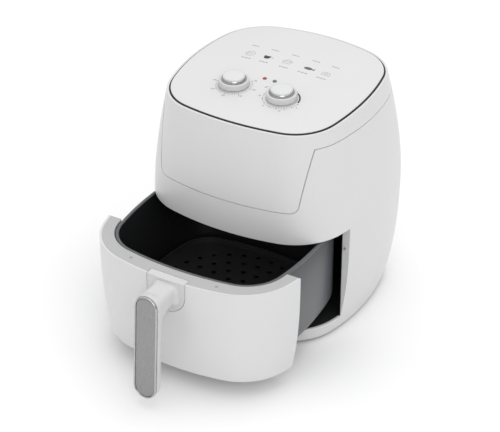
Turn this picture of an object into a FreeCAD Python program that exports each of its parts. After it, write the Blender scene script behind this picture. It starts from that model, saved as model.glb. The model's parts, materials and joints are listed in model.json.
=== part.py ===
import FreeCAD, Part
import math
import os
import re
import Sketcher
from FreeCAD import Placement, Rotation, Vector

# Drawer-type hot-air fryer. Millimetres, +Z up, -Y is the front, X is to the right seen from the front.
# The origin lies on the surface that the feet stand on, under the middle of the body.
# The drawer is modelled closed and then placed at its rest opening.

SIZES = (
    # whole body
    ("body_width", 270.0, "width at the seam between the two housings"),
    ("body_depth", 274.6, "depth at that seam"),
    ("foot_height", 4.0, "underside of the lower housing"),
    ("seam_height", 149.5, "top of the lower housing"),
    ("upper_height", 140.0, "from the seam to the lid's edge"),
    ("base_narrowing", 13.2, "how much each side draws in at the bottom"),
    ("base_shortening", 14.8, "how much front and back draw in at the bottom"),
    ("base_shift", -3.6, "centre of the bottom outline along Y"),
    ("top_narrowing", 17.5, "how much each side draws in at the lid"),
    ("top_shortening", 21.0, "how much front and back draw in at the lid"),
    ("top_shift", -3.2, "centre of the lid outline along Y"),
    ("lower_curve", 2.71, "power of the lower housing's side curve"),
    ("upper_curve", 1.67, "power of the upper housing's side curve"),
    ("side_radius", 317.0, "radius of the four bulged sides at the seam"),
    ("corner_radius", 73.4, "radius of the four corners at the seam"),
    ("side_taper", 2.35, "loss of side radius for each millimetre of narrowing"),
    ("corner_taper", 0.544, "loss of corner radius for each millimetre of narrowing"),
    ("wall", 2.6, "plastic wall"),
    # lid and front cover
    ("lid_tilt", 2.2, "slope of the lid towards the front, degrees"),
    ("lid_rise", 5.5, "dome of the lid"),
    ("lid_reach", 115.0, "distance over which the dome falls"),
    ("lid_wall", 2.5, "lid panel"),
    ("cover_drop", 1.3, "cover's top edge below the lid"),
    ("seal_drop", 0.35, "seal's top below the lid"),
    ("seal_depth", 4.0, "seal's underside below the lid"),
    ("lid_seat", 6.0, "seat for the lid above the cover's seam"),
    ("cover_wall", 3.4, "top edge of the front cover, outside the lid"),
    ("trim_width", 0.9, "dark seal between cover and lid"),
    ("band_drop", 23.0, "joint of cover band and upper housing, below the lid's edge"),
    ("panel_rise", 41.0, "lower edge of the front panel above the seam"),
    ("panel_low_margin", 43.5, "from the body's side to the panel's lower edge"),
    ("panel_high_margin", 34.5, "from the body's side to the panel's upper end"),
    ("panel_corner", 9.0, "radius of the front panel's lower corners"),
    ("groove", 0.9, "width of the shadow groove round the cover"),
    ("groove_depth", 1.5, "depth of that groove"),
    # drawer opening
    ("jamb_setback", 58.1, "face that the drawer closes against, in front of the centre"),
    ("jamb_depth", 3.0, "thickness of the jambs"),
    ("jamb_width", 16.0, "jamb at the seam, with the wall"),
    ("sill_height", 22.0, "top of the sill"),
    ("liner_setback", 25.3, "from the body's back to the inside of the liner"),
    ("liner_corner", 67.0, "liner's rear corner radius"),
    ("liner_sheet", 1.0, "liner sheet"),
    ("liner_base", 1.5, "liner's floor"),
    ("rail_sheet", 1.5, "upright of a rail"),
    ("rail_flange", 2.0, "flange of a rail"),
    ("rail_depth", 14.0, "height of a rail"),
    ("rail_end", 30.0, "rear end of the rails along Y"),
    # drawer
    ("rest_opening", 116.9, "how far the drawer stands open at rest"),
    ("closed_gap", 0.3, "gap between drawer and jambs when shut"),
    ("sill_gap", 0.5, "gap under the drawer front"),
    ("head_gap", 1.2, "gap over the drawer front"),
    ("drawer_wall", 2.5, "wall of the drawer's inner moulding"),
    ("pan_side_gap", 4.0, "between the pan's rim and the liner at each side"),
    ("pan_front_gap", 22.8, "from the drawer's face to the pan's rim"),
    ("pan_back_gap", 6.0, "between the rim and the liner's back, drawer shut"),
    ("pan_side_radius", 380.0, "bulged sides of the pan's outline"),
    ("pan_corner_radius", 51.0, "corners of the pan's outline"),
    ("pan_clearance", 8.0, "under the pan, above the sill"),
    ("pan_sheet", 1.2, "pan sheet"),
    ("pan_edge", 18.0, "radius between the pan's wall and floor"),
    ("rim_width", 4.4, "pan rim"),
    ("rim_thickness", 3.5, "pan rim"),
    ("rim_drop", 0.7, "rim top below the drawer's top face"),
    ("pan_gap", 1.0, "gap between the rim and the drawer"),
    ("rail_gap", 0.3, "gap between the rim and the rails"),
    ("rail_clearance", 0.5, "between the pan's wall and the rails"),
    ("plug_spacing", 114.0, "between the two screw plugs on the drawer's top"),
    ("plug_inset", 17.3, "screw plugs behind the body's front"),
    ("plug_radius", 2.0, "screw plug"),
    ("bracket_width", 56.0, "bracket between the handle and the pan"),
    ("bracket_end", -80.0, "rear end of that bracket along Y"),
    # tray
    ("tray_gap", 5.0, "between the tray's edge and the pan's wall"),
    ("tray_lift", 14.0, "tray plate above the pan's floor"),
    ("tray_plate", 1.2, "tray plate"),
    ("tray_hem", 8.0, "height of the tray's raised edge"),
    ("tray_hole", 3.2, "radius of the tray's holes"),
    ("tray_margin", 12.0, "outermost ring of holes from the tray's edge"),
    ("centre_hole", 9.0, "radius of the tray's finger hole"),
    ("bumper_width", 14.0, "silicone bumper"),
    ("bumper_depth", 8.0, "silicone bumper"),
    ("bumper_side_inset", 57.0, "bumpers from the rim's sides"),
    ("bumper_end_inset", 36.0, "bumpers from the rim's front and back"),
    ("bumper_gap", 0.3, "between the bumpers and the pan's floor"),
    # handle
    ("plate_width", 50.0, "D-shaped plate on the drawer front"),
    ("plate_drop", 43.5, "lowest point of that plate below the seam"),
    ("plate_wrap", 11.0, "how far the plate wraps over the drawer's top"),
    ("plate_groove", 0.5, "groove round the plate"),
    ("arm_width", 28.0, "arm between plate and grip"),
    ("arm_drop", 6.5, "upper edge of the arm below the seam"),
    ("arm_height", 26.0, "arm at the plate"),
    ("grip_width", 30.0, "grip"),
    ("grip_headroom", 2.35, "highest point of the grip below the seam"),
    ("grip_depth", 13.0, "grip moulding from front to back"),
    ("grip_low", 14.0, "lowest point of the grip"),
    ("grip_reach", 50.0, "lower end's front face ahead of the drawer front"),
    ("grip_slope", 4.35, "lean of the grip, degrees"),
    ("bezel_wall", 2.0, "chrome bezel round the insert"),
    ("bezel_height", 3.0, "chrome bezel, front to back"),
    ("insert_drop", 0.8, "insert below the bezel's face"),
    ("face_inset", 0.3, "drawer's face at the handle behind the body's front"),
    ("arm_flare", 3.0, "arm's thickening where it meets the plate"),
    ("arm_root", 1.2, "how far the arm reaches into the drawer's face"),
    ("web_depth", 26.0, "web under the arm, down the grip's back"),
    ("handle_shank", 1.8, "handle screw's shank, radius"),
    ("handle_head", 3.4, "handle screw's head, radius"),
    ("handle_screw_length", 18.0, "handle screw"),
    # heater and fan
    ("heater_radius", 96.0, "inside of the heater housing"),
    ("heater_height", 55.5, "top of the heater housing above the seam"),
    ("heater_sheet", 1.0, "heater sheet"),
    ("heater_flange", 9.0, "flange of the heater housing"),
    ("shaft_hole", 6.0, "radius of the hole for the motor shaft"),
    ("ceiling_gap", 0.5, "ceiling plate above the seam"),
    ("ceiling_sheet", 1.2, "ceiling plate"),
    ("guard_rise", 4.5, "wire guard above the seam"),
    ("guard_wire", 1.2, "radius of the guard's wire"),
    ("shaft_radius", 3.0, "motor shaft and knob spindles"),
    ("running_fit", 0.05, "radial clearance of a turning shaft"),
    ("fan_gap", 4.8, "between the fans' tips and the element's legs"),
    ("coil_gap", 16.0, "between the element's outer turn and the heater wall"),
    ("coil_pitch", 22.0, "between the element's two turns"),
    ("element_radius", 3.2, "heating element's tube"),
    ("element_rise", 16.5, "heating element above the seam"),
    ("leg_rise", 8.0, "element's legs above the heater housing"),
    ("fan_sheet", 1.2, "fan disc and blades"),
    ("hub_radius", 9.0, "fan hub"),
    ("rotor_radius", 11.0, "motor rotor"),
    ("rotor_gap", 0.4, "air gap round the rotor"),
    ("bridge_width", 32.0, "motor bracket"),
    ("bridge_sheet", 2.0, "motor bracket's sheet"),
    ("bridge_hole", 12.0, "radius of the bracket's hole"),
    ("motor_width", 52.0, "motor"),
    ("motor_rise", 20.0, "motor above the heater housing"),
    ("motor_height", 30.0, "motor"),
    # controls
    ("knob_spacing", 64.0, "between the two knobs"),
    ("knob_line", -51.0, "knob centres along Y"),
    ("knob_radius", 18.0, "skirt of a knob"),
    ("knob_skirt", 7.0, "height of the skirt"),
    ("cap_radius", 14.6, "chrome band of a knob"),
    ("band_height", 3.6, "chrome band"),
    ("lamp_spacing", 13.4, "between the two lamps"),
    ("lamp_line", -23.6, "lamp centres along Y"),
    ("lamp_radius", 2.5, "lamp lens"),
    ("dial_margin", 0.9, "dial ring outside the knob"),
    ("dial_depth", 5.0, "dial ring below the lid"),
    ("dial_rise", 0.8, "dial ring above the lid"),
    ("knob_gap", 0.3, "between a knob and its dial ring"),
    ("spindle_depth", 28.0, "spindle below the lid"),
    ("timer_width", 42.0, "timer's clockwork"),
    ("timer_depth", 32.0, "timer's clockwork below the lid"),
    ("thermostat_radius", 17.0, "thermostat body"),
    ("thermostat_depth", 30.0, "thermostat body below the lid"),
    # rear
    ("vent_width", 80.0, "rear outlet"),
    ("vent_rise", 8.5, "rear outlet above the seam"),
    ("vent_height", 40.0, "rear outlet"),
    ("vent_gap", 0.1, "gap round the outlet's grille"),
    ("duct_margin", 5.0, "duct inside the outlet at each side"),
    ("duct_inset", 3.0, "duct inside the outlet at top and bottom"),
    ("duct_wall", 1.2, "duct"),
    ("louvre_pitch", 6.0, "between the grille's slots"),
    ("louvre_height", 4.0, "slot of the grille"),
    ("gland_height", 60.0, "mains lead inlet"),
    ("gland_radius", 8.0, "mains lead inlet"),
    ("gland_flange", 11.5, "radius of the inlet's flange"),
    ("gland_bore", 3.6, "radius of the hole for the lead"),
    ("gland_length", 11.0, "inlet's barrel"),
    ("gland_stand", 2.0, "inlet's outer face behind the body"),
    # feet and base
    ("foot_radius", 9.0, "rubber foot"),
    ("foot_inset", 42.0, "foot centres from the bottom outline"),
    ("boss_inset", 8.8, "screw bosses from the bottom outline"),
    ("boss_radius", 7.0, "screw boss"),
    ("screw_head", 3.2, "base screw's head, radius"),
    ("screw_shank", 1.5, "base screw's shank, radius"),
    ("base_sheet", 3.0, "base plate"),
    ("foot_seat", 1.5, "how far a foot is let into the base plate"),
    ("intake_length", 64.0, "air slot in the base plate"),
    ("intake_pitch", 9.0, "between the air slots"),
    ("intake_width", 4.4, "air slot in the base plate"),
    ("screw_head_height", 2.0, "base screw's head"),
    ("screw_length", 12.0, "base screw"),
    # drawer switch
    ("switch_drop", 29.5, "drawer switch below the seam"),
    ("plunger_radius", 1.4, "switch plunger"),
    ("plunger_reach", 2.0, "plunger ahead of the jamb"),
    ("switch_offset", 4.7, "plunger outside the bay's wall"),
    ("switch_inner", 2.8, "switch body from the plunger towards the bay"),
    ("switch_outer", 1.9, "switch body from the plunger outwards"),
    ("switch_size", 16.0, "height of the switch body"),
    ("switch_length", 12.0, "length of the switch body"),
)

# Places and sizes that follow from the ones above
PLACES = {
    "lid_height": "seam_height + upper_height",
    "cover_seam": "lid_height - band_drop",
    "panel_bottom": "seam_height + panel_rise",
    "panel_low_width": "body_width - 2 * panel_low_margin",
    "panel_high_width": "body_width - 2 * panel_high_margin",
    "opening_width": "body_width - 2 * jamb_width",
    "liner_back": "body_depth / 2 - liner_setback",
    "pan_width": "opening_width - 2 * pan_side_gap",
    "pan_depth": "body_depth - pan_front_gap - liner_setback - pan_back_gap",
    "pan_shift": "(pan_front_gap - liner_setback - pan_back_gap) / 2",
    "pan_floor": "sill_height + pan_clearance",
    "plate_bottom": "seam_height - plate_drop",
    "arm_top": "seam_height - arm_drop",
    "arm_bottom": "arm_top - arm_height",
    "grip_length": "(seam_height - grip_low - grip_headroom) / cos(grip_slope * 1 deg)",
    "heater_top": "seam_height + heater_height",
    "element_height": "seam_height + element_rise",
    "coil_radius": "heater_radius - coil_gap",
    "fan_radius": "coil_radius - coil_pitch - element_radius - fan_gap",
    "motor_bottom": "heater_top + motor_rise",
    "vent_bottom": "seam_height + vent_rise",
    "switch_height": "seam_height - switch_drop",
    "foot_across": "body_width / 2 - base_narrowing - foot_inset",
    "foot_along": "body_depth / 2 - base_shortening - foot_inset",
    "boss_across": "body_width / 2 - base_narrowing - boss_inset",
    "boss_front": "-0.13 * body_depth",
    "boss_rear": "0.16 * body_depth",
    "liner_floor": "sill_height - liner_base",
}

doc = FreeCAD.newDocument("AirFryer")
sheet = doc.addObject("Spreadsheet::Sheet", "Sizes")
for row, (alias, value, note) in enumerate(SIZES, 1):
    sheet.set(f"A{row}", alias)
    sheet.set(f"B{row}", str(value))
    sheet.set(f"C{row}", note)
    sheet.setAlias(f"B{row}", alias)
doc.recompute()

ALIASES = {alias for alias, value, note in SIZES}
nodes = []


def formula(text):
    """Spell a formula out in cells of the sheet."""
    def spelled(word):
        if word in PLACES:
            return f"({formula(PLACES[word])})"
        return f"Sizes.{word}" if word in ALIASES else word

    return re.sub(r"[a-z_]+", lambda found: spelled(found[0]), str(text))


def number(text):
    """The present value of a formula."""
    return float(sheet.evalExpression(formula(text)))


def bind(item, prop, text):
    item.setExpression(prop, formula(text))


def node(item, label, x=None, y=None, z=None):
    """Give a finished sub-part its name and, where it has one, its place."""
    item.Label = label
    for axis, text in (("x", x), ("y", y), ("z", z)):
        if text is not None:
            bind(item, f"Placement.Base.{axis}", text)
    nodes.append(item)
    return item


def drawer_node(item, label):
    """A piece of the drawer, modelled shut and standing open."""
    return node(item, label, y="-rest_opening")


# Part primitives and booleans

def block(name, x, y, z):
    """A box between two corners; x, y and z are pairs of formulas."""
    item = doc.addObject("Part::Box", name)
    for side, axis, (low, high) in (("Length", "x", x), ("Width", "y", y), ("Height", "z", z)):
        bind(item, side, f"({high}) - ({low})")
        bind(item, f"Placement.Base.{axis}", low)
    return item


TURNS = {
    "X": Rotation(Vector(0, 1, 0), 90),
    "Y": Rotation(Vector(1, 0, 0), -90),
    "Z": Rotation(),
}


def rod(name, radius, start, length, axis="Z"):
    """A cylinder that starts at a point and runs along an axis."""
    item = doc.addObject("Part::Cylinder", name)
    item.Placement = Placement(Vector(), TURNS[axis])
    bind(item, "Radius", radius)
    bind(item, "Height", length)
    for letter, text in zip("xyz", start):
        bind(item, f"Placement.Base.{letter}", text)
    return item


def cut(name, base, tool):
    item = doc.addObject("Part::Cut", name)
    item.Base = base
    item.Tool = tool
    return item


def common(name, *shapes):
    item = doc.addObject("Part::MultiCommon", name)
    item.Shapes = list(shapes)
    return item


def fuse(name, *shapes):
    item = doc.addObject("Part::MultiFuse", name)
    item.Shapes = list(shapes)
    return item


def group(name, *shapes):
    """Pieces side by side, so that the group can be placed while the pieces stay where they cut."""
    item = doc.addObject("Part::Compound", name)
    item.Links = list(shapes)
    return item


# PartDesign bodies

def new_body(name):
    return doc.addObject("PartDesign::Body", name)


def new_sketch(body, name, plane="XY_Plane", offset=None):
    """An empty sketch on one of the body's own origin planes."""
    sketch = body.newObject("Sketcher::SketchObject", name)
    origin_plane = next(item for item in body.Origin.OriginFeatures if item.Role == plane)
    sketch.AttachmentSupport = [(origin_plane, "")]
    sketch.MapMode = "FlatFace"
    if offset is not None:
        bind(sketch, "AttachmentOffset.Base.z", offset)
    return sketch


def constrain(sketch, constraint, text):
    """Add a sketch dimension that follows a formula."""
    index = sketch.addConstraint(constraint)
    bind(sketch, f"Constraints[{index}]", text)


def pin_point(sketch, piece, point, x, y):
    """Hold a point of the sketch at two formulas from its origin."""
    constrain(sketch, Sketcher.Constraint("DistanceX", -1, 1, piece, point, number(x)), x)
    constrain(sketch, Sketcher.Constraint("DistanceY", -1, 1, piece, point, number(y)), y)


def outline(body, name, points, plane="XY_Plane", offset=None):
    """A closed outline of straight lines through points given as formulas."""
    sketch = new_sketch(body, name, plane, offset)
    places = [Vector(number(x), number(y), 0) for x, y in points]
    for start, end in zip(places, places[1:] + places[:1]):
        sketch.addGeometry(Part.LineSegment(start, end), False)
    for index in range(len(points)):
        sketch.addConstraint(Sketcher.Constraint("Coincident", index, 2, (index + 1) % len(points), 1))
    for index, (x, y) in enumerate(points):
        pin_point(sketch, index, 1, x, y)
    return sketch


def ring(body, name, x, y, radius, plane="XY_Plane", offset=None):
    """A circle in a sketch of its own."""
    sketch = new_sketch(body, name, plane, offset)
    sketch.addGeometry(Part.Circle(Vector(number(x), number(y), 0), Vector(0, 0, 1), number(radius)), False)
    pin_point(sketch, 0, 3, x, y)
    constrain(sketch, Sketcher.Constraint("Radius", 0, number(radius)), radius)
    return sketch


def corner_centre(half_width, half_depth, side, corner):
    """Centre of a corner arc that touches both neighbouring side arcs from inside."""
    x = half_width - corner
    y = half_depth - corner
    reach = side - corner
    for step in range(30):
        miss_x = x * x + (y + side - half_depth) ** 2 - reach * reach
        miss_y = (x + side - half_width) ** 2 + y * y - reach * reach
        xx, xy = 2 * x, 2 * (y + side - half_depth)
        yx, yy = 2 * (x + side - half_width), 2 * y
        scale = xx * yy - xy * yx
        x -= (miss_x * yy - miss_y * xy) / scale
        y -= (miss_y * xx - miss_x * yx) / scale
    return x, y


def cushion(body, name, half_width, half_depth, side, corner, centre="0", offset="0"):
    """A rounded square of four bulged sides and four corner arcs, all tangent."""
    sketch = new_sketch(body, name, "XY_Plane", offset)
    a, b, big, small, mid = (number(text) for text in (half_width, half_depth, side, corner, centre))
    x, y = corner_centre(a, b, big, small)
    flat = math.atan2(y, x + big - a)
    steep = math.atan2(y + big - b, x)
    turn = math.pi
    arcs = (
        (a - big, 0, big, -flat, flat),
        (x, y, small, flat, steep),
        (0, b - big, big, steep, turn - steep),
        (-x, y, small, turn - steep, turn - flat),
        (big - a, 0, big, turn - flat, turn + flat),
        (-x, -y, small, turn + flat, turn + steep),
        (0, big - b, big, turn + steep, 2 * turn - steep),
        (x, -y, small, 2 * turn - steep, 2 * turn - flat),
    )
    for across, along, radius, start, end in arcs:
        circle = Part.Circle(Vector(across, along + mid, 0), Vector(0, 0, 1), radius)
        sketch.addGeometry(Part.ArcOfCircle(circle, start, end), False)
    for index in range(8):
        sketch.addConstraint(Sketcher.Constraint("Tangent", index, 2, (index + 1) % 8, 1))
    for index in (2, 4, 6):
        sketch.addConstraint(Sketcher.Constraint("Equal", 0, index))
        sketch.addConstraint(Sketcher.Constraint("Equal", 1, index + 1))
    constrain(sketch, Sketcher.Constraint("Radius", 0, big), side)
    constrain(sketch, Sketcher.Constraint("Radius", 1, small), corner)
    pin_point(sketch, 0, 3, f"({half_width}) - ({side})", centre)
    pin_point(sketch, 4, 3, f"({side}) - ({half_width})", centre)
    pin_point(sketch, 2, 3, "0", f"({centre}) + ({half_depth}) - ({side})")
    pin_point(sketch, 6, 3, "0", f"({centre}) - ({half_depth}) + ({side})")
    return sketch


def pad(body, sketch, length, midplane=False):
    feature = body.newObject("PartDesign::Pad", sketch.Name + "_pad")
    feature.Profile = sketch
    feature.Midplane = midplane
    bind(feature, "Length", length)
    return feature


def pocket(body, sketch, length, upward=True):
    feature = body.newObject("PartDesign::Pocket", sketch.Name + "_pocket")
    feature.Profile = sketch
    feature.Reversed = upward
    bind(feature, "Length", length)
    return feature


def revolve(body, sketch):
    """Turn a profile in the XZ plane about Z."""
    feature = body.newObject("PartDesign::Revolution", sketch.Name + "_turned")
    feature.Profile = sketch
    feature.ReferenceAxis = (sketch, ["V_Axis"])
    feature.Angle = 360
    return feature


def polar(body, original, count):
    """Repeat a feature round Z."""
    feature = body.newObject("PartDesign::PolarPattern", original.Name + "_round")
    feature.Originals = [original]
    feature.Axis = (original.Profile[0], ["N_Axis"])
    feature.Angle = 360
    feature.Occurrences = count
    body.Tip = feature
    return feature


def loft(body, sketches):
    feature = body.newObject("PartDesign::AdditiveLoft", body.Name + "_loft")
    feature.Profile = sketches[0]
    feature.Sections = sketches[1:]
    return feature


def turned(name, points):
    """A body turned from one closed profile of (radius, height) formulas."""
    body = new_body(name)
    revolve(body, outline(body, name + "_profile", points, "XZ_Plane"))
    return body


# Outer forms of the two housings

LOWER_LEVELS = (0.0, 0.06, 0.15, 0.3, 0.5, 0.75, 1.0)
UPPER_LEVELS = (0.0, 0.2, 0.4, 0.6, 0.8, 1.0)
UPPER_HEIGHT = "(upper_height + 10)"


def section(body, index, narrow, short, shift, share, height, inset):
    """One level of a housing: the seam outline drawn in by a share of the full narrowing."""
    narrowing = f"{narrow} * {share}"
    return cushion(
        body,
        f"{body.Name}_{index}",
        f"body_width / 2 - {narrowing} - {inset}",
        f"body_depth / 2 - {short} * {share} - {inset}",
        f"side_radius - side_taper * {narrowing} - {inset}",
        f"corner_radius - corner_taper * {narrowing} - {inset}",
        f"{shift} * {share}",
        height,
    )


def lower_form(name, inset):
    body = new_body(name)
    sections = []
    for index, level in enumerate(LOWER_LEVELS):
        share = f"pow(1 - {level}; lower_curve)" if level < 1 else "0"
        height = f"foot_height + {level} * (seam_height - foot_height)"
        draw = ("base_narrowing", "base_shortening", "base_shift")
        sections.append(section(body, index, *draw, share, height, inset))
    loft(body, sections)
    return body


def upper_form(name, inset):
    body = new_body(name)
    sections = []
    for index, level in enumerate(UPPER_LEVELS):
        rise = f"{level} * {UPPER_HEIGHT}"
        share = f"pow({rise} / upper_height; upper_curve)" if level > 0 else "0"
        height = f"seam_height + {rise}"
        draw = ("top_narrowing", "top_shortening", "top_shift")
        sections.append(section(body, index, *draw, share, height, inset))
    loft(body, sections)
    return body


lower_outer = lower_form("lower_outer", "0")
lower_inner = lower_form("lower_inner", "wall")
upper_outer = upper_form("upper_outer", "0")
upper_inner = upper_form("upper_inner", "wall")
upper_groove = upper_form("upper_groove", "groove_depth")
lid_opening = upper_form("lid_opening", "cover_wall")
lid_outline = upper_form("lid_outline", "(cover_wall + trim_width)")

FAR = "body_depth"
FRONT = "-jamb_setback"

# Lower housing: shell, open front above the sill, and the two jambs

front_space = block("front_space", (f"-{FAR}", FAR), (f"-{FAR}", FRONT), ("sill_height", "seam_height + 1"))
jamb_slab = block(
    "jamb_slab",
    (f"-{FAR}", FAR),
    (FRONT, f"{FRONT} + jamb_depth"),
    ("sill_height - 5", "seam_height"),
)
opening = block(
    "opening",
    ("-opening_width / 2 - liner_sheet", "opening_width / 2 + liner_sheet"),
    (f"{FRONT} - 1", f"{FRONT} + jamb_depth + 1"),
    ("foot_height", "seam_height + 1"),
)
lower_shell = cut("lower_shell", lower_outer, lower_inner)
open_shell = cut("open_shell", lower_shell, front_space)
jambs = cut("jambs", common("jamb_plate", lower_inner, jamb_slab), opening)

BOSS_SPOTS = [(f"{side} * boss_across", along) for side in (-1, 1) for along in ("boss_front", "boss_rear")]
BASE_TOP = "foot_height + base_sheet"
bosses = [
    rod(f"boss_{index}", "boss_radius", (x, y, BASE_TOP), f"liner_floor - ({BASE_TOP})")
    for index, (x, y) in enumerate(BOSS_SPOTS)
]
base_screws = fuse(
    "base_screws_shape",
    *[
        rod(f"{part}_{i}", part, (x, y, "foot_height"), length)
        for i, (x, y) in enumerate(BOSS_SPOTS)
        for part, length in (("screw_head", "screw_head_height"), ("screw_shank", "screw_length"))
    ],
)
node(base_screws, "base_screws")
boss_stock = common("boss_stock", fuse("boss_group", *bosses), lower_inner)
node(cut("boss_shape", boss_stock, base_screws), "screw_bosses")

plunger_bore = rod(
    "plunger_bore",
    "plunger_radius + running_fit",
    ("opening_width / 2 + switch_offset", f"{FRONT} - 1", "switch_height"),
    "jamb_depth + 2",
    "Y",
)
gland_seat = rod("gland_seat", "gland_radius", ("0", "body_depth / 2 - 20", "gland_height"), "40", "Y")
node(cut("jamb_shape", jambs, plunger_bore), "front_jambs")

# Base plate, feet and their seats

base_slab = block("base_slab", (f"-{FAR}", FAR), (f"-{FAR}", FAR), ("foot_height", BASE_TOP))
feet = fuse(
    "feet_shape",
    *[
        rod(
            f"foot_{i}_{k}",
            "foot_radius",
            (f"{i} * foot_across", f"{k} * foot_along", "0"),
            "foot_height + foot_seat",
        )
        for i in (-1, 1)
        for k in (-1, 1)
    ],
)
node(feet, "rubber_feet")
slots = [
    block(
        f"intake_{i}",
        ("-intake_length / 2", "intake_length / 2"),
        (f"{i} * intake_pitch - intake_width / 2", f"{i} * intake_pitch + intake_width / 2"),
        ("0", "foot_height + 2 * base_sheet"),
    )
    for i in range(-3, 4)
]
base_blank = common("base_blank", lower_inner, base_slab)
node(cut("base_plate_shape", base_blank, fuse("base_cuts", feet, base_screws, *slots)), "base_plate")

# Liner of the drawer bay: a sheet tray with a rounded back and a floor that runs out over the sill


def bay_outline(body, name, grow, offset):
    """Straight sides from the jambs, rounded rear corners and a flat back."""
    half = f"opening_width / 2 + {grow}"
    back = f"liner_back + {grow}"
    corner = f"liner_corner + {grow}"
    sketch = new_sketch(body, name, "XY_Plane", offset)
    a, b, r, front = (number(text) for text in (half, back, corner, FRONT))
    quarter = math.pi / 2
    sketch.addGeometry(Part.LineSegment(Vector(-a, front, 0), Vector(a, front, 0)), False)
    sketch.addGeometry(Part.LineSegment(Vector(a, front, 0), Vector(a, b - r, 0)), False)
    right = Part.Circle(Vector(a - r, b - r, 0), Vector(0, 0, 1), r)
    sketch.addGeometry(Part.ArcOfCircle(right, 0, quarter), False)
    sketch.addGeometry(Part.LineSegment(Vector(a - r, b, 0), Vector(r - a, b, 0)), False)
    left = Part.Circle(Vector(r - a, b - r, 0), Vector(0, 0, 1), r)
    sketch.addGeometry(Part.ArcOfCircle(left, quarter, 2 * quarter), False)
    sketch.addGeometry(Part.LineSegment(Vector(-a, b - r, 0), Vector(-a, front, 0)), False)
    sketch.addConstraint(Sketcher.Constraint("Coincident", 0, 2, 1, 1))
    sketch.addConstraint(Sketcher.Constraint("Coincident", 5, 2, 0, 1))
    for first, second in ((1, 2), (2, 3), (3, 4), (4, 5)):
        sketch.addConstraint(Sketcher.Constraint("Tangent", first, 2, second, 1))
    constrain(sketch, Sketcher.Constraint("Radius", 2, r), corner)
    pin_point(sketch, 0, 1, f"-({half})", FRONT)
    pin_point(sketch, 0, 2, half, FRONT)
    pin_point(sketch, 2, 3, f"({half}) - ({corner})", f"({back}) - ({corner})")
    pin_point(sketch, 4, 3, f"({corner}) - ({half})", f"({back}) - ({corner})")
    return sketch


liner_block = new_body("liner_block")
pad(
    liner_block,
    bay_outline(liner_block, "block_outside", "liner_sheet", "liner_floor"),
    "seam_height - liner_floor + 1",
)
lower_cuts = fuse("lower_cuts", gland_seat, base_screws, liner_block)
node(cut("lower_housing_shape", open_shell, lower_cuts), "lower_housing")

liner = new_body("liner")
liner_outside = bay_outline(liner, "liner_outside", "liner_sheet", "liner_floor")
pad(liner, liner_outside, "seam_height - liner_floor")
liner_inside = bay_outline(liner, "liner_inside", "0", "sill_height")
pocket(liner, liner_inside, "seam_height - sill_height + 1")
sill_slab = block("sill_slab", (f"-{FAR}", FAR), (f"-{FAR}", FRONT), ("liner_floor", "sill_height"))
sill_floor = common("sill_floor", lower_inner, sill_slab)
node(fuse("cavity_liner_shape", liner, sill_floor), "cavity_liner")

DRAWER_TOP = "(seam_height - head_gap)"
RIM_TOP = f"({DRAWER_TOP} - rim_drop)"
RAIL_TOP = f"({RIM_TOP} - rim_thickness - rail_gap)"
RAIL_INNER = "(pan_width / 2 - rim_width + pan_sheet + rail_clearance)"
RAIL_RUN = (f"{FRONT} + 2 * jamb_depth", "rail_end")
for side, name in ((-1, "left"), (1, "right")):
    low, high = RAIL_INNER, "opening_width / 2"
    span = (low, high) if side > 0 else (f"-({high})", f"-{low}")
    web_low = "opening_width / 2 - rail_sheet"
    web = (web_low, high) if side > 0 else (f"-({high})", f"-({web_low})")
    flange = block(f"{name}_flange", span, RAIL_RUN, (f"{RAIL_TOP} - rail_flange", RAIL_TOP))
    upright = block(f"{name}_upright", web, RAIL_RUN, (f"{RAIL_TOP} - rail_depth", RAIL_TOP))
    node(fuse(f"{name}_rail_shape", flange, upright), f"{name}_rail")

# Upper housing, front cover and lid


def cover_region(name, grow):
    """Everything that belongs to the cover: the band over its seam and the front panel's prism."""
    body = new_body(name + "_panel")
    corners = [
        (f"-panel_low_width / 2 - {grow}", f"panel_bottom - {grow}"),
        (f"panel_low_width / 2 + {grow}", f"panel_bottom - {grow}"),
        (f"panel_high_width / 2 + {grow}", "cover_seam + 4"),
        (f"-panel_high_width / 2 - {grow}", "cover_seam + 4"),
    ]
    sketch = outline(body, name + "_corners", corners, "XZ_Plane")
    for radius_corner in (0, 1):
        sketch.fillet(radius_corner, 1, number(f"panel_corner + {grow}"))
    pad(body, sketch, "body_depth")
    band = block(
        name + "_band",
        (f"-{FAR}", FAR),
        (f"-{FAR}", FAR),
        (f"cover_seam - {grow}", "lid_height + 20"),
    )
    return fuse(name, body, band)


region = cover_region("cover_region", "0")
region_grown = cover_region("cover_region_grown", "groove")
groove_ring = cut("groove_ring", region_grown, upper_groove)
upper_shell = cut("upper_shell", upper_outer, upper_inner)
vent_hole = block(
    "vent_hole",
    ("-vent_width / 2", "vent_width / 2"),
    ("jamb_setback", "body_depth"),
    ("vent_bottom", "vent_bottom + vent_height"),
)
node(
    cut("upper_housing_shape", upper_shell, fuse("upper_cuts", region, groove_ring, vent_hole)),
    "upper_housing",
)

band_inside = cut("band_inside", lid_opening, block(
    "below_lid_seat", (f"-{FAR}", FAR), (f"-{FAR}", FAR), ("0", "cover_seam + lid_seat")
))

dome_radius = "((lid_reach * lid_reach + lid_rise * lid_rise) / (2 * lid_rise))"


def dome(name, drop):
    """A ball whose top is the lid's surface, lowered by a drop; its poles point sideways."""
    item = doc.addObject("Part::Sphere", name)
    item.Placement = Placement(Vector(), Rotation(Vector(0, 1, 0), 90))
    bind(item, "Radius", f"{dome_radius} - {drop}")
    bind(item, "Placement.Base.y", f"top_shift + sin(lid_tilt * 1 deg) * ({dome_radius} - lid_rise)")
    bind(item, "Placement.Base.z", f"lid_height - cos(lid_tilt * 1 deg) * ({dome_radius} - lid_rise)")
    return item


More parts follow.
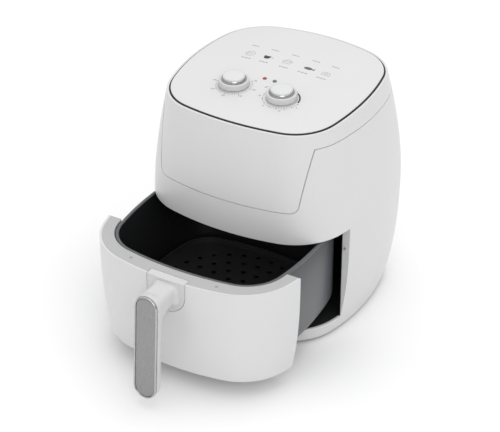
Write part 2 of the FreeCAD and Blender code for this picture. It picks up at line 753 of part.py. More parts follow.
cover_blank = common("cover_blank", upper_outer, region, dome("cover_top", "cover_drop"))
node(cut("cover_hollow", cover_blank, fuse("cover_cuts", upper_inner, band_inside)), "front_cover")

lid_top = dome("lid_top", "0")
lid_under = dome("lid_under", "lid_wall")
seal_under = dome("seal_under", "seal_depth")
seal_top = dome("seal_top", "seal_drop")
lid_sheet = cut("lid_sheet", common("lid_blank", lid_outline, lid_top), lid_under)
seal_blank = cut("seal_blank", common("seal_stock", lid_opening, seal_top), seal_under)
node(cut("lid_trim_ring_shape", seal_blank, common("seal_hole", lid_outline, seal_top)), "lid_trim_ring")


def on_lid(item, x, y):
    """Stand an item on the lid at x, y, square to the lid's slope."""
    item.Placement = Placement(Vector(), Rotation(Vector(1, 0, 0), number("lid_tilt")))
    across = f"({x})"
    along = f"({y} - top_shift)"
    fall = f"lid_rise * (1 - ({across} * {across} + {along} * {along}) / (lid_reach * lid_reach))"
    bind(item, "Placement.Base.x", x)
    bind(item, "Placement.Base.y", y)
    bind(item, "Placement.Base.z", f"lid_height + tan(lid_tilt * 1 deg) * {along} + {fall}")
    return item


# Controls: each knob has a skirt, a chrome band, a cap and a spindle, over a ring set into the lid

KNOB_LOW = "(dial_rise + knob_gap)"
SKIRT_TOP = f"({KNOB_LOW} + knob_skirt)"
BAND_TOP = f"({SKIRT_TOP} + band_height)"
SPINDLE_LOW = "-spindle_depth"
SPINDLE_BORE = "shaft_radius + running_fit"
KNOBS = (("temperature", "-knob_spacing / 2"), ("timer", "knob_spacing / 2"))

dial_rings = []
lid_holes = []
for name, x in KNOBS:
    dial = turned(f"{name}_dial", [
        ("shaft_radius + knob_gap", "-dial_depth"),
        ("knob_radius + dial_margin", "-dial_depth"),
        ("knob_radius + dial_margin", "dial_rise"),
        ("shaft_radius + knob_gap", "dial_rise"),
    ])
    dial_rings.append(on_lid(dial, x, "knob_line"))
    hole = turned(f"{name}_hole", [
        ("0", "-2 * dial_depth"),
        ("knob_radius + dial_margin", "-2 * dial_depth"),
        ("knob_radius + dial_margin", "dial_depth"),
        ("0", "dial_depth"),
    ])
    lid_holes.append(on_lid(hole, x, "knob_line"))
    skirt = turned(f"{name}_skirt", [
        ("shaft_radius", KNOB_LOW),
        ("knob_radius", KNOB_LOW),
        ("knob_radius", f"{KNOB_LOW} + 1"),
        ("knob_radius - 0.5", f"{SKIRT_TOP} - 0.8"),
        ("knob_radius - 1.3", SKIRT_TOP),
        ("shaft_radius", SKIRT_TOP),
    ])
    node(on_lid(skirt, x, "knob_line"), f"{name}_knob")
    band = turned(f"{name}_band", [
        ("cap_radius - 4", SKIRT_TOP),
        ("cap_radius", SKIRT_TOP),
        ("cap_radius", f"{BAND_TOP} - 0.3"),
        ("cap_radius - 0.3", BAND_TOP),
        ("cap_radius - 4", BAND_TOP),
    ])
    node(on_lid(band, x, "knob_line"), f"{name}_knob_band")
    cap = turned(f"{name}_cap", [
        ("0", SKIRT_TOP),
        ("cap_radius - 4", SKIRT_TOP),
        ("cap_radius - 4", BAND_TOP),
        ("cap_radius - 0.3", BAND_TOP),
        ("cap_radius - 0.4", f"{BAND_TOP} + 0.8"),
        ("cap_radius - 1.4", f"{BAND_TOP} + 1.7"),
        ("cap_radius - 8", f"{BAND_TOP} + 2.3"),
        ("0", f"{BAND_TOP} + 2.5"),
    ])
    node(on_lid(cap, x, "knob_line"), f"{name}_knob_cap")
    spindle = turned(f"{name}_spindle_shape", [
        ("0", SPINDLE_LOW),
        ("shaft_radius", SPINDLE_LOW),
        ("shaft_radius", SKIRT_TOP),
        ("0", SKIRT_TOP),
    ])
    node(on_lid(spindle, x, "knob_line"), f"{name}_spindle")
node(fuse("dial_rings_shape", *dial_rings), "dial_rings")

lenses = []
for name, x in (("red", "-lamp_spacing / 2"), ("green", "lamp_spacing / 2")):
    lens = turned(f"{name}_lens_shape", [
        ("0", "-6"),
        ("lamp_radius", "-6"),
        ("lamp_radius", "0.6"),
        ("lamp_radius - 0.8", "1.2"),
        ("0", "1.4"),
    ])
    lenses.append(node(on_lid(lens, x, "lamp_line"), f"{name}_lens"))

node(cut("lid_panel_shape", lid_sheet, fuse("lid_cuts", *lid_holes, *lenses)), "lid_panel")


def hung_box(name, x, y, half_x, half_y, low, high, bore):
    """A box under the lid with a central bore, square to the lid."""
    body = new_body(name)
    corners = [
        (f"-{half_x}", f"-{half_y}"),
        (half_x, f"-{half_y}"),
        (half_x, half_y),
        (f"-{half_x}", half_y),
    ]
    pad(body, outline(body, name + "_plan", corners, offset=low), f"{high} - ({low})")
    if bore is not None:
        pocket(body, ring(body, name + "_bore", "0", "0", bore, offset=f"{SPINDLE_LOW} - 1"), "40")
    return on_lid(body, x, y)


TIMER_HALF = "timer_width / 2"
TIMER_SPAN = ("-timer_depth", "-dial_depth")
timer = hung_box(
    "timer_shape",
    "knob_spacing / 2",
    "knob_line",
    TIMER_HALF,
    TIMER_HALF,
    *TIMER_SPAN,
    SPINDLE_BORE,
)
node(timer, "timer_mechanism")
thermostat = turned("thermostat_shape", [
    (SPINDLE_BORE, "-thermostat_depth"),
    ("thermostat_radius", "-thermostat_depth"),
    ("thermostat_radius", "-dial_depth"),
    (SPINDLE_BORE, "-dial_depth"),
])
node(on_lid(thermostat, "-knob_spacing / 2", "knob_line"), "thermostat_body")
node(
    hung_box("lamp_shape", "0", "lamp_line", "lamp_spacing / 2 + 5", "4", "-18", "-6.5", None),
    "lamp_holder",
)

# Heater chamber above the bay

CEILING_LOW = "(seam_height + ceiling_gap)"
CEILING_TOP = f"({CEILING_LOW} + ceiling_sheet)"
ceiling_slab = block("ceiling_slab", (f"-{FAR}", FAR), (f"-{FAR}", FAR), (CEILING_LOW, CEILING_TOP))
ceiling_hole = rod("ceiling_hole", "heater_radius", ("0", "0", "seam_height"), "5")
node(cut("ceiling_shape", common("ceiling_blank", upper_inner, ceiling_slab), ceiling_hole), "ceiling_plate")

heater_bowl = turned("heater_bowl", [
    ("heater_radius", CEILING_TOP),
    ("heater_radius + heater_flange", CEILING_TOP),
    ("heater_radius + heater_flange", f"{CEILING_TOP} + heater_sheet"),
    ("heater_radius + heater_sheet", f"{CEILING_TOP} + heater_sheet"),
    ("heater_radius + heater_sheet", "heater_top"),
    ("shaft_hole", "heater_top"),
    ("shaft_hole", "heater_top - heater_sheet"),
    ("heater_radius", "heater_top - heater_sheet"),
])
DUCT_HALF = "(vent_width / 2 - duct_margin)"
DUCT_LOW = "(vent_bottom + duct_inset)"
DUCT_HIGH = "(vent_bottom + vent_height - duct_inset)"
duct_bore = block(
    "duct_bore",
    (f"-({DUCT_HALF} - duct_wall)", f"{DUCT_HALF} - duct_wall"),
    ("60", "body_depth"),
    (f"{DUCT_LOW} + duct_wall", f"{DUCT_HIGH} - duct_wall"),
)
leg_spots = ("coil_radius", "coil_radius - coil_pitch")
LEG_LENGTH = "heater_top + leg_rise - element_height"
leg_holes = [
    rod(f"leg_hole_{i}", "element_radius", (x, "0", "element_height"), "50")
    for i, x in enumerate(leg_spots)
]
node(cut("heater_housing_shape", heater_bowl, fuse("heater_cuts", duct_bore, *leg_holes)), "heater_housing")

element = new_body("element")
spine = new_sketch(element, "element_spine", "XY_Plane", "element_height")
END = math.radians(-50)
outer_turn = number("coil_radius")
inner_turn = number("coil_radius - coil_pitch")
middle = (outer_turn + inner_turn) / 2
bend = Vector(middle * math.cos(END), middle * math.sin(END), 0)
spine.addGeometry(
    Part.ArcOfCircle(Part.Circle(Vector(), Vector(0, 0, 1), outer_turn), 0, 2 * math.pi + END),
    False,
)
bend_circle = Part.Circle(bend, Vector(0, 0, 1), (outer_turn - inner_turn) / 2)
spine.addGeometry(Part.ArcOfCircle(bend_circle, END, END + math.pi), False)
spine.addGeometry(
    Part.ArcOfCircle(Part.Circle(Vector(), Vector(0, 0, 1), inner_turn), 0, 2 * math.pi + END),
    False,
)
pin_point(spine, 0, 3, "0", "0")
spine.addConstraint(Sketcher.Constraint("Coincident", 2, 3, 0, 3))
constrain(spine, Sketcher.Constraint("Radius", 0, outer_turn), "coil_radius")
constrain(spine, Sketcher.Constraint("Radius", 2, inner_turn), "coil_radius - coil_pitch")
tube = ring(element, "element_tube", "coil_radius", "element_height", "element_radius", "XZ_Plane")
pipe = element.newObject("PartDesign::AdditivePipe", "element_pipe")
pipe.Profile = tube
pipe.Spine = spine
legs = [
    rod(f"leg_{i}", "element_radius", (x, "0", "element_height"), LEG_LENGTH)
    for i, x in enumerate(leg_spots)
]
knees = []
for index, x in enumerate(leg_spots):
    knee = doc.addObject("Part::Sphere", f"knee_{index}")
    bind(knee, "Radius", "element_radius")
    bind(knee, "Placement.Base.x", x)
    bind(knee, "Placement.Base.z", "element_height")
    knees.append(knee)
node(fuse("heating_element_shape", element, *legs, *knees), "heating_element")

GUARD_HEIGHT = "(seam_height + guard_rise)"
guard_pieces = []
for index, share in enumerate((0.3, 0.55, 0.8, 0.975)):
    hoop = doc.addObject("Part::Torus", f"guard_hoop_{index}")
    bind(hoop, "Radius1", f"heater_radius * {share}")
    bind(hoop, "Radius2", "guard_wire")
    bind(hoop, "Placement.Base.z", GUARD_HEIGHT)
    guard_pieces.append(hoop)
for index in range(3):
    spoke = rod(
        f"guard_spoke_{index}",
        "guard_wire",
        ("0", "0", GUARD_HEIGHT),
        "2 * heater_radius - 0.4",
        "X",
    )
    angle = index * 60
    spoke.Placement.Rotation = Rotation(Vector(0, 0, 1), angle).multiply(TURNS["X"])
    bind(spoke, "Placement.Base.x", f"-(heater_radius - 0.2) * {math.cos(math.radians(angle))}")
    bind(spoke, "Placement.Base.y", f"-(heater_radius - 0.2) * {math.sin(math.radians(angle))}")
    guard_pieces.append(spoke)
node(fuse("heater_guard_shape", *guard_pieces), "heater_guard")


def fan(name, low, high, blades):
    """A disc with a hub and upright radial blades, bored for the motor shaft."""
    body = new_body(name)
    pad(body, ring(body, name + "_disc", "0", "0", "fan_radius", offset=low), "fan_sheet")
    pad(body, ring(body, name + "_hub", "0", "0", "hub_radius", offset=low), f"{high} - ({low})")
    corners = [
        ("hub_radius - 1", "-fan_sheet / 2"),
        ("fan_radius - 1", "-fan_sheet / 2"),
        ("fan_radius - 1", "fan_sheet / 2"),
        ("hub_radius - 1", "fan_sheet / 2"),
    ]
    blade = pad(body, outline(body, name + "_blade", corners, offset=low), f"{high} - ({low})")
    polar(body, blade, blades)
    pocket(body, ring(body, name + "_bore", "0", "0", "shaft_radius", offset=f"{low} - 1"), "60")
    return body


node(fan("fan_low", "heater_top - 26", "heater_top - 10", 10), "convection_fan")
node(fan("fan_high", "heater_top + 4", "heater_top + 14", 8), "cooling_fan")

SHAFT_LOW = "(heater_top - 31)"
MOTOR_TOP = "(motor_bottom + motor_height)"
node(
    rod("shaft_shape", "shaft_radius", ("0", "0", SHAFT_LOW), f"{MOTOR_TOP} + 4 - {SHAFT_LOW}"),
    "motor_shaft",
)
rotor = turned("rotor_shape", [
    ("shaft_radius", "motor_bottom + 3"),
    ("rotor_radius", "motor_bottom + 3"),
    ("rotor_radius", f"{MOTOR_TOP} - 3"),
    ("shaft_radius", f"{MOTOR_TOP} - 3"),
])
node(rotor, "motor_rotor")
motor_block = block(
    "motor_block",
    ("-motor_width / 2", "motor_width / 2"),
    ("-motor_width / 2", "motor_width / 2"),
    ("motor_bottom", MOTOR_TOP),
)
motor_bore = turned("motor_bore", [
    ("0", "motor_bottom - 1"),
    ("shaft_radius + running_fit", "motor_bottom - 1"),
    ("shaft_radius + running_fit", "motor_bottom + 2"),
    ("rotor_radius + rotor_gap", "motor_bottom + 2"),
    ("rotor_radius + rotor_gap", f"{MOTOR_TOP} - 2"),
    ("shaft_radius + running_fit", f"{MOTOR_TOP} - 2"),
    ("shaft_radius + running_fit", f"{MOTOR_TOP} + 1"),
    ("0", f"{MOTOR_TOP} + 1"),
])
node(cut("motor_stator_shape", motor_block, motor_bore), "motor_stator")
REACH = "(coil_radius - coil_pitch / 2 + 2)"
BRIDGE_RUN = ("-bridge_width / 2", "bridge_width / 2")
BRIDGE_RISE = ("heater_top", "motor_bottom")
bridge = block("bridge", (f"-{REACH}", REACH), BRIDGE_RUN, ("motor_bottom - bridge_sheet", "motor_bottom"))
bridge_left = block("bridge_left", (f"-{REACH}", f"bridge_sheet - {REACH}"), BRIDGE_RUN, BRIDGE_RISE)
bridge_right = block("bridge_right", (f"{REACH} - bridge_sheet", REACH), BRIDGE_RUN, BRIDGE_RISE)
bridge_hole = rod(
    "bridge_bore",
    "bridge_hole",
    ("0", "0", "motor_bottom - bridge_sheet - 1"),
    "bridge_sheet + 2",
)
node(
    cut("bracket_shape", fuse("bracket_blank", bridge, bridge_left, bridge_right), bridge_hole),
    "motor_bracket",
)

duct_outside = block(
    "duct_outside",
    (f"-{DUCT_HALF}", DUCT_HALF),
    ("60", "body_depth"),
    (DUCT_LOW, DUCT_HIGH),
)
duct_reach = common("duct_reach", upper_inner, duct_outside)
bowl_core = rod("bowl_core", "heater_radius + heater_sheet", ("0", "0", "seam_height"), "90")
node(cut("duct_shape", duct_reach, fuse("duct_cuts", duct_bore, bowl_core)), "exhaust_duct")
vent_plug = block(
    "vent_plug",
    ("-vent_width / 2 + vent_gap", "vent_width / 2 - vent_gap"),
    ("jamb_setback", "body_depth"),
    ("vent_bottom + vent_gap", "vent_bottom + vent_height - vent_gap"),
)
LOUVRE_HALF = f"({DUCT_HALF} - 2 * duct_wall)"
louvres = []
for index in range(-2, 3):
    middle_height = f"vent_bottom + vent_height / 2 + {index} * louvre_pitch"
    louvres.append(block(
        f"louvre_{index}",
        (f"-{LOUVRE_HALF}", LOUVRE_HALF),
        ("60", "body_depth"),
        (f"{middle_height} - louvre_height / 2", f"{middle_height} + louvre_height / 2"),
    ))
vent_sheet = common("vent_sheet", upper_shell, vent_plug)
node(cut("grille_shape", vent_sheet, fuse("louvre_group", *louvres)), "rear_vent_grille")

node(block("terminal_shape", ("30", "60"), ("60", "74"), ("heater_top", "heater_top + 12")), "terminal_block")
node(rod("fuse_shape", "8", ("-45", "65", "heater_top"), "8"), "thermal_fuse")
node(
    rod("bulb_shape", "2.5", ("-25", "-84", "heater_top - heater_sheet - 2.5"), "50", "X"),
    "thermostat_bulb",
)

GLAND_END = "body_depth / 2 + gland_stand"
gland_flange = rod("gland_collar", "gland_flange", ("0", f"{GLAND_END} - 22", "gland_height"), "20", "Y")
gland_barrel = rod(
    "gland_barrel",
    "gland_radius",
    ("0", f"{GLAND_END} - gland_length", "gland_height"),
    "gland_length",
    "Y",
)
gland_hole = rod("gland_hole", "gland_bore", ("0", f"{GLAND_END} - 40", "gland_height"), "60", "Y")
gland_face = cut("gland_face", gland_flange, lower_outer)
node(cut("gland_shape", fuse("gland_blank", gland_face, gland_barrel), gland_hole), "cord_gland")

# Drawer switch beside the right jamb

SWITCH_X = "(opening_width / 2 + switch_offset)"
switch_box = block(
    "switch_box",
    (f"{SWITCH_X} - switch_inner", f"{SWITCH_X} + switch_outer"),
    (f"{FRONT} + jamb_depth", f"{FRONT} + jamb_depth + switch_length"),
    ("switch_height - switch_size / 2", "switch_height + switch_size / 2"),
)
switch_bore = rod(
    "switch_bore", "plunger_radius + running_fit", (SWITCH_X, FRONT, "switch_height"), "jamb_depth + 9", "Y"
)
node(cut("switch_shape", switch_box, switch_bore), "drawer_switch")
node(rod(
    "plunger_shape", "plunger_radius", (SWITCH_X, f"{FRONT} - plunger_reach", "switch_height"),
    "plunger_reach + jamb_depth + 4", "Y",
), "switch_plunger")

# Drawer front: an outer skin and an inner moulding that wraps round the pan, with the handle's plate let in

DRAWER_LOW = "(sill_height + sill_gap)"
drawer_space = block(
    "drawer_space",
    (f"-{FAR}", FAR),
    (f"-{FAR}", f"{FRONT} - closed_gap"),
    (DRAWER_LOW, DRAWER_TOP),
)
drawer_stock = common("drawer_stock", lower_outer, drawer_space)


def pan_prism(name, grow, low, high):
    """An upright prism with the rim's outline, grown all round."""
    body = new_body(name)
    sketch = cushion(
        body,
        name + "_plan",
        f"pan_width / 2 + ({grow})",
        f"pan_depth / 2 + ({grow})",
        f"pan_side_radius + ({grow})",
        f"pan_corner_radius + ({grow})",
        "pan_shift",
        low,
    )
    pad(body, sketch, f"({high}) - ({low})")
    return body


pan_space = pan_prism("pan_space", "pan_gap", f"{DRAWER_LOW} + drawer_wall", f"{DRAWER_TOP} + 5")
pan_jacket = pan_prism("pan_jacket", "(pan_gap + drawer_wall)", "0", f"{DRAWER_TOP} + 5")
drawer_air = block(
    "drawer_air",
    (f"-{FAR}", FAR),
    (f"-{FAR}", f"{FRONT} - closed_gap - drawer_wall"),
    (f"{DRAWER_LOW} + drawer_wall", f"{DRAWER_TOP} - drawer_wall"),
)
jacket_air = cut("jacket_air", drawer_air, pan_jacket)


def plate_region(name, grow):
    """The handle plate's outline as a prism: straight sides and a round lower end."""
    body = new_body(name)
    half = f"plate_width / 2 + {grow}"
    centre = "plate_bottom + plate_width / 2"
    sketch = new_sketch(body, name + "_outline", "XZ_Plane")
    r, height, top = number(half), number(centre), number("seam_height + 5")
    circle = Part.Circle(Vector(0, height, 0), Vector(0, 0, 1), r)
    sketch.addGeometry(Part.ArcOfCircle(circle, math.pi, 2 * math.pi), False)
    sketch.addGeometry(Part.LineSegment(Vector(r, height, 0), Vector(r, top, 0)), False)
    sketch.addGeometry(Part.LineSegment(Vector(r, top, 0), Vector(-r, top, 0)), False)
    sketch.addGeometry(Part.LineSegment(Vector(-r, top, 0), Vector(-r, height, 0)), False)
    sketch.addConstraint(Sketcher.Constraint("Tangent", 0, 2, 1, 1))
    sketch.addConstraint(Sketcher.Constraint("Coincident", 1, 2, 2, 1))
    sketch.addConstraint(Sketcher.Constraint("Coincident", 2, 2, 3, 1))
    sketch.addConstraint(Sketcher.Constraint("Tangent", 3, 2, 0, 1))
    sketch.addConstraint(Sketcher.Constraint("Horizontal", 2))
    pin_point(sketch, 0, 3, "0", centre)
    constrain(sketch, Sketcher.Constraint("Radius", 0, r), half)
    constrain(sketch, Sketcher.Constraint("DistanceY", -1, 1, 2, 1, top), "seam_height + 5")
    pad(body, sketch, "body_depth")
    reach = block(
        name + "_reach",
        (f"-{FAR}", FAR),
        (f"-{FAR}", f"-(body_depth / 2 - plate_wrap) + {grow}"),
        ("0", "seam_height + 10"),
    )
    return common(name + "_prism", body, reach)


plate_zone = plate_region("plate_zone", "0")
plate_zone_grown = plate_region("plate_zone_grown", "plate_groove")
skin_blank = cut("skin_blank", drawer_stock, lower_inner)
drawer_node(cut("drawer_skin_shape", skin_blank, plate_zone_grown), "drawer_front")

switch_pocket = rod(
    "switch_pocket",
    "plunger_radius + 1",
    (SWITCH_X, f"{FRONT} - plunger_reach - closed_gap", "switch_height"),
    "plunger_reach + 1",
    "Y",
)
PLUGS = [(f"{side} * plug_spacing / 2", "plug_inset - body_depth / 2") for side in (-1, 1)]
plugs = fuse("plugs_shape", *[
    rod(f"plug_{i}", "plug_radius", (x, y, f"{DRAWER_TOP} - drawer_wall"), "drawer_wall")
    for i, (x, y) in enumerate(PLUGS)
])
drawer_node(group("plugs_placed", plugs), "drawer_plugs")
inner_blank = common("inner_blank", drawer_stock, lower_inner)
inner_cuts = fuse("inner_cuts", pan_space, jacket_air, plate_zone_grown, switch_pocket)
inner_open = cut("inner_open", inner_blank, inner_cuts)
drawer_node(cut("drawer_inner_shape", inner_open, plugs), "drawer_inner")

plate_stock = common("plate_stock", drawer_stock, plate_zone)
plate_air = common("plate_air", lower_inner, block(
    "under_plate", (f"-{FAR}", FAR), (f"-{FAR}", "0"), ("0", f"{DRAWER_TOP} - drawer_wall")
))
plate_sheet = cut("plate_sheet", plate_stock, plate_air)

# Handle

DRAWER_FACE = "(-body_depth / 2 + face_inset)"
GRIP_BACK = f"({DRAWER_FACE} - grip_reach + grip_depth + bezel_height)"
arm = new_body("arm")
arm_side = outline(arm, "arm_side", [
    (f"{DRAWER_FACE} + arm_root", "arm_bottom - arm_flare"),
    (f"{DRAWER_FACE} + arm_root", "arm_top"),
    (f"{GRIP_BACK} - 1", "arm_top + 1"),
    (f"{GRIP_BACK} - 1", "arm_bottom - web_depth"),
    (f"{GRIP_BACK} + web_depth / 5", "arm_bottom - web_depth / 3"),
    (f"{GRIP_BACK} + web_depth / 2", "arm_bottom"),
], "YZ_Plane")
pad(arm, arm_side, "arm_width", midplane=True)


def stadium(body, name, width, length, offset=None):
    """An upright slot outline: two half circles joined by straight sides, its lowest point at the origin."""
    sketch = new_sketch(body, name, "XZ_Plane", offset)
    radius = f"({width}) / 2"
    r, top = number(radius), number(f"({length}) - ({width}) / 2")
    sketch.addGeometry(
        Part.ArcOfCircle(Part.Circle(Vector(0, r, 0), Vector(0, 0, 1), r), math.pi, 2 * math.pi),
        False,
    )
    sketch.addGeometry(Part.LineSegment(Vector(r, r, 0), Vector(r, top, 0)), False)
    sketch.addGeometry(
        Part.ArcOfCircle(Part.Circle(Vector(0, top, 0), Vector(0, 0, 1), r), 0, math.pi),
        False,
    )
    sketch.addGeometry(Part.LineSegment(Vector(-r, top, 0), Vector(-r, r, 0)), False)
    for index in range(4):
        sketch.addConstraint(Sketcher.Constraint("Tangent", index, 2, (index + 1) % 4, 1))
    constrain(sketch, Sketcher.Constraint("Radius", 0, r), radius)
    pin_point(sketch, 0, 3, "0", radius)
    pin_point(sketch, 2, 3, "0", f"({length}) - ({width}) / 2")
    return sketch


def leaning(item, inset="0", opening="0"):
    """Lean a grip piece, built upright at the origin, and carry it to the drawer front."""
    item.Placement = Placement(Vector(), Rotation(Vector(1, 0, 0), -number("grip_slope")))
    bind(
        item,
        "Placement.Base.y",
        f"{DRAWER_FACE} - grip_reach + sin(grip_slope * 1 deg) * ({inset}) - {opening}",
    )
    bind(item, "Placement.Base.z", f"grip_low + cos(grip_slope * 1 deg) * ({inset})")
    return item


BEZEL_BACK = "-bezel_height"
INSERT_INSET = "bezel_wall"
grip = new_body("grip")
pad(
    grip,
    stadium(grip, "grip_outline", "grip_width", "grip_length", "-(bezel_height + grip_depth)"),
    "grip_depth",
)
leaning(grip)
bezel = new_body("bezel")
pad(bezel, stadium(bezel, "bezel_outline", "grip_width", "grip_length", BEZEL_BACK), "bezel_height")
leaning(bezel)
bezel_hole = new_body("bezel_hole")
INSERT_WIDTH = "grip_width - 2 * bezel_wall"
INSERT_LENGTH = "grip_length - 2 * bezel_wall"
pad(
    bezel_hole,
    stadium(bezel_hole, "hole_outline", INSERT_WIDTH, INSERT_LENGTH, "-(bezel_height + 1)"),
    "bezel_height + 2",
)
leaning(bezel_hole, INSERT_INSET)
insert = new_body("insert")
pad(
    insert,
    stadium(insert, "insert_outline", INSERT_WIDTH, INSERT_LENGTH, BEZEL_BACK),
    "bezel_height - insert_drop",
)
node(leaning(insert, INSERT_INSET, "rest_opening"), "handle_insert")

screws = []
for index, height in enumerate(("arm_bottom + 5", "arm_top - 6")):
    head_start = f"{DRAWER_FACE} + wall"
    shank_start = ("0", f"{head_start} - handle_screw_length", height)
    screws.append(rod(f"shank_{index}", "handle_shank", shank_start, "handle_screw_length", "Y"))
    screws.append(rod(f"head_{index}", "handle_head", ("0", head_start, height), "screw_head_height", "Y"))
handle_screws = fuse("handle_screws_shape", *screws)
drawer_node(group("handle_screws_placed", handle_screws), "handle_screws")
arm_clear = cut("arm_clear", arm, fuse("arm_cuts", drawer_stock, bezel, bezel_hole, handle_screws))
grip_clear = cut("grip_clear", grip, handle_screws)
drawer_node(fuse("handle_shape", arm_clear, grip_clear), "handle_grip")
drawer_node(cut("bezel_shape", bezel, bezel_hole), "handle_bezel")
drawer_node(cut("plate_shape", plate_sheet, handle_screws), "handle_plate")

# Pan

RIM_LOW = f"({RIM_TOP} - rim_thickness)"
pan_rim = pan_prism("pan_rim", "0", RIM_LOW, RIM_TOP)


def pan_form(name, inset, low, edge, top):
    """The pan's outline drawn in by an inset, as an upright solid with a round lower edge."""
    body = pan_prism(name, f"-({inset})", low, top)
    doc.recompute()
    upright = body.Tip
    floor = min(range(len(upright.Shape.Faces)), key=lambda i: upright.Shape.Faces[i].CenterOfMass.z)
    rounding = body.newObject("PartDesign::Fillet", name + "_edge")
    rounding.Base = (upright, [f"Face{floor + 1}"])
    bind(rounding, "Radius", edge)
    return body


OUTER_INSET = "rim_width - pan_sheet"
pan_outside = pan_form("pan_outside", OUTER_INSET, "pan_floor", "pan_edge", RIM_TOP)
pan_inside = pan_form(
    "pan_inside",
    "rim_width",
    "pan_floor + pan_sheet",
    "(pan_edge - pan_sheet)",
    f"({RIM_TOP} + 1)",
)
pan_blank = fuse("pan_blank", pan_rim, pan_outside)
pan_shape = cut("pan_shape", pan_blank, pan_inside)
drawer_node(pan_shape, "pan")

bracket_box = block(
    "bracket_box",
    ("-bracket_width / 2", "bracket_width / 2"),
    (f"-{FAR}", "bracket_end"),
    ("pan_floor + pan_edge", f"{RIM_LOW} - rim_width"),
)
bracket_reach = common("bracket_reach", bracket_box, pan_space)
drawer_node(cut("pan_bracket_shape", bracket_reach, pan_outside), "pan_bracket")

# Crisper tray and its bumpers

TRAY_LOW = "(pan_floor + pan_sheet + tray_lift)"
TRAY_HALF = "pan_width / 2 - rim_width - tray_gap"
TRAY_LONG = "pan_depth / 2 - rim_width - tray_gap"
tray = new_body("tray")


def tray_plan(name, inset, offset):
    return cushion(
        tray,
        name,
        f"{TRAY_HALF} - {inset}",
        f"{TRAY_LONG} - {inset}",
        f"pan_side_radius - rim_width - tray_gap - {inset}",
        f"pan_corner_radius - rim_width - tray_gap - {inset}",
        "pan_shift",
        offset,
    )


pad(tray, tray_plan("tray_outside", "0", TRAY_LOW), "tray_hem")
pocket(tray, tray_plan("tray_inside", "tray_plate", f"{TRAY_LOW} + tray_plate"), "tray_hem")
tray_holes = []
HOLE_COUNTS = (6, 12, 18, 24, 30)
for index, count in enumerate(HOLE_COUNTS):
    distance = f"(min({TRAY_HALF}; {TRAY_LONG}) - tray_margin) * {(index + 1) / len(HOLE_COUNTS)}"
    drill = new_body(f"drill_{index}")
    first = ring(drill, f"drill_{index}_hole", distance, "0", "tray_hole", offset=f"{TRAY_LOW} - 1")
    polar(drill, pad(drill, first, "tray_plate + 2"), count)
    bind(drill, "Placement.Base.y", "pan_shift")
    tray_holes.append(drill)
centre_drill = rod("centre_drill", "centre_hole", ("0", "pan_shift", f"{TRAY_LOW} - 1"), "tray_plate + 2")
tray_drilled = cut("tray_shape", tray, fuse("tray_drills", centre_drill, *tray_holes))

BUMPER_LOW = "(pan_floor + pan_sheet + bumper_gap)"
BUMPER_X = "(pan_width / 2 - bumper_side_inset)"
BUMPER_Y = "(pan_depth / 2 - bumper_end_inset)"
bumpers = fuse("bumpers_shape", *[
    block(
        f"bumper_{i}_{k}",
        (f"{i} * {BUMPER_X} - bumper_width / 2", f"{i} * {BUMPER_X} + bumper_width / 2"),
        (
            f"pan_shift + {k} * {BUMPER_Y} - bumper_depth / 2",
            f"pan_shift + {k} * {BUMPER_Y} + bumper_depth / 2",
        ),
        (BUMPER_LOW, TRAY_LOW),
    )
    for i in (-1, 1)
    for k in (-1, 1)
])
drawer_node(tray_drilled, "crisper_tray")
drawer_node(bumpers, "tray_bumpers")

doc.recompute()

# Checks before anything is written

faults = [item.Name for item in doc.Objects if {"Invalid", "Error"} & set(item.State)]
for item in nodes:
    if item.Shape.isNull() or not item.Shape.isValid() or not item.Shape.Solids:
        faults.append(item.Label)
if faults:
    raise RuntimeError("failed objects: " + ", ".join(faults))

os.makedirs("parts", exist_ok=True)
for item in nodes:
    item.Shape.exportStep(f"parts/{item.Label}.step")
    bounds = item.Shape.BoundBox
    print(f"{item.Label}: {len(item.Shape.Solids)} solid, {item.Shape.Volume:.0f} mm3, "
          f"z {bounds.ZMin:.1f} to {bounds.ZMax:.1f}")
print(len(nodes), "sub-parts")
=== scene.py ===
import json
import math

import bmesh
import bpy
from mathutils import Matrix, Vector
from mathutils.bvhtree import BVHTree


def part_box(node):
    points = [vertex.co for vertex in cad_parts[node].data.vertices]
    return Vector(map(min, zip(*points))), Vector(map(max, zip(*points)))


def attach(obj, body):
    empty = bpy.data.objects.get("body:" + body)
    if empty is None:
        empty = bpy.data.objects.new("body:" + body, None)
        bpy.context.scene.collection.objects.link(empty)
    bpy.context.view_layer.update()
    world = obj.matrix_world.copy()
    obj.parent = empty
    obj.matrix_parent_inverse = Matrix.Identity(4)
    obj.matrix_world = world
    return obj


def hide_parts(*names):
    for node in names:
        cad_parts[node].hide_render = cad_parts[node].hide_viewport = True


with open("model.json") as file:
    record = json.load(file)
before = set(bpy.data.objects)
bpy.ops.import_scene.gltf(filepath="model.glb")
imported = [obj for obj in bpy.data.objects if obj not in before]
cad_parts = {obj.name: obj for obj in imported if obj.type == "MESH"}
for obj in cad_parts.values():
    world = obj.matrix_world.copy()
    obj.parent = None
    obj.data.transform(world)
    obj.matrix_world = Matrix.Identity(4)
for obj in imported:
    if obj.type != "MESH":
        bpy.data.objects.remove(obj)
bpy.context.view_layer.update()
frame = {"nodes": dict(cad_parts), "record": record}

MM = 0.001
NODES = frame["nodes"]
JOINTS = {joint["name"]: joint for joint in frame["record"]["behaviour"]["joints"]}


# ---------------------------------------------------------------- materials

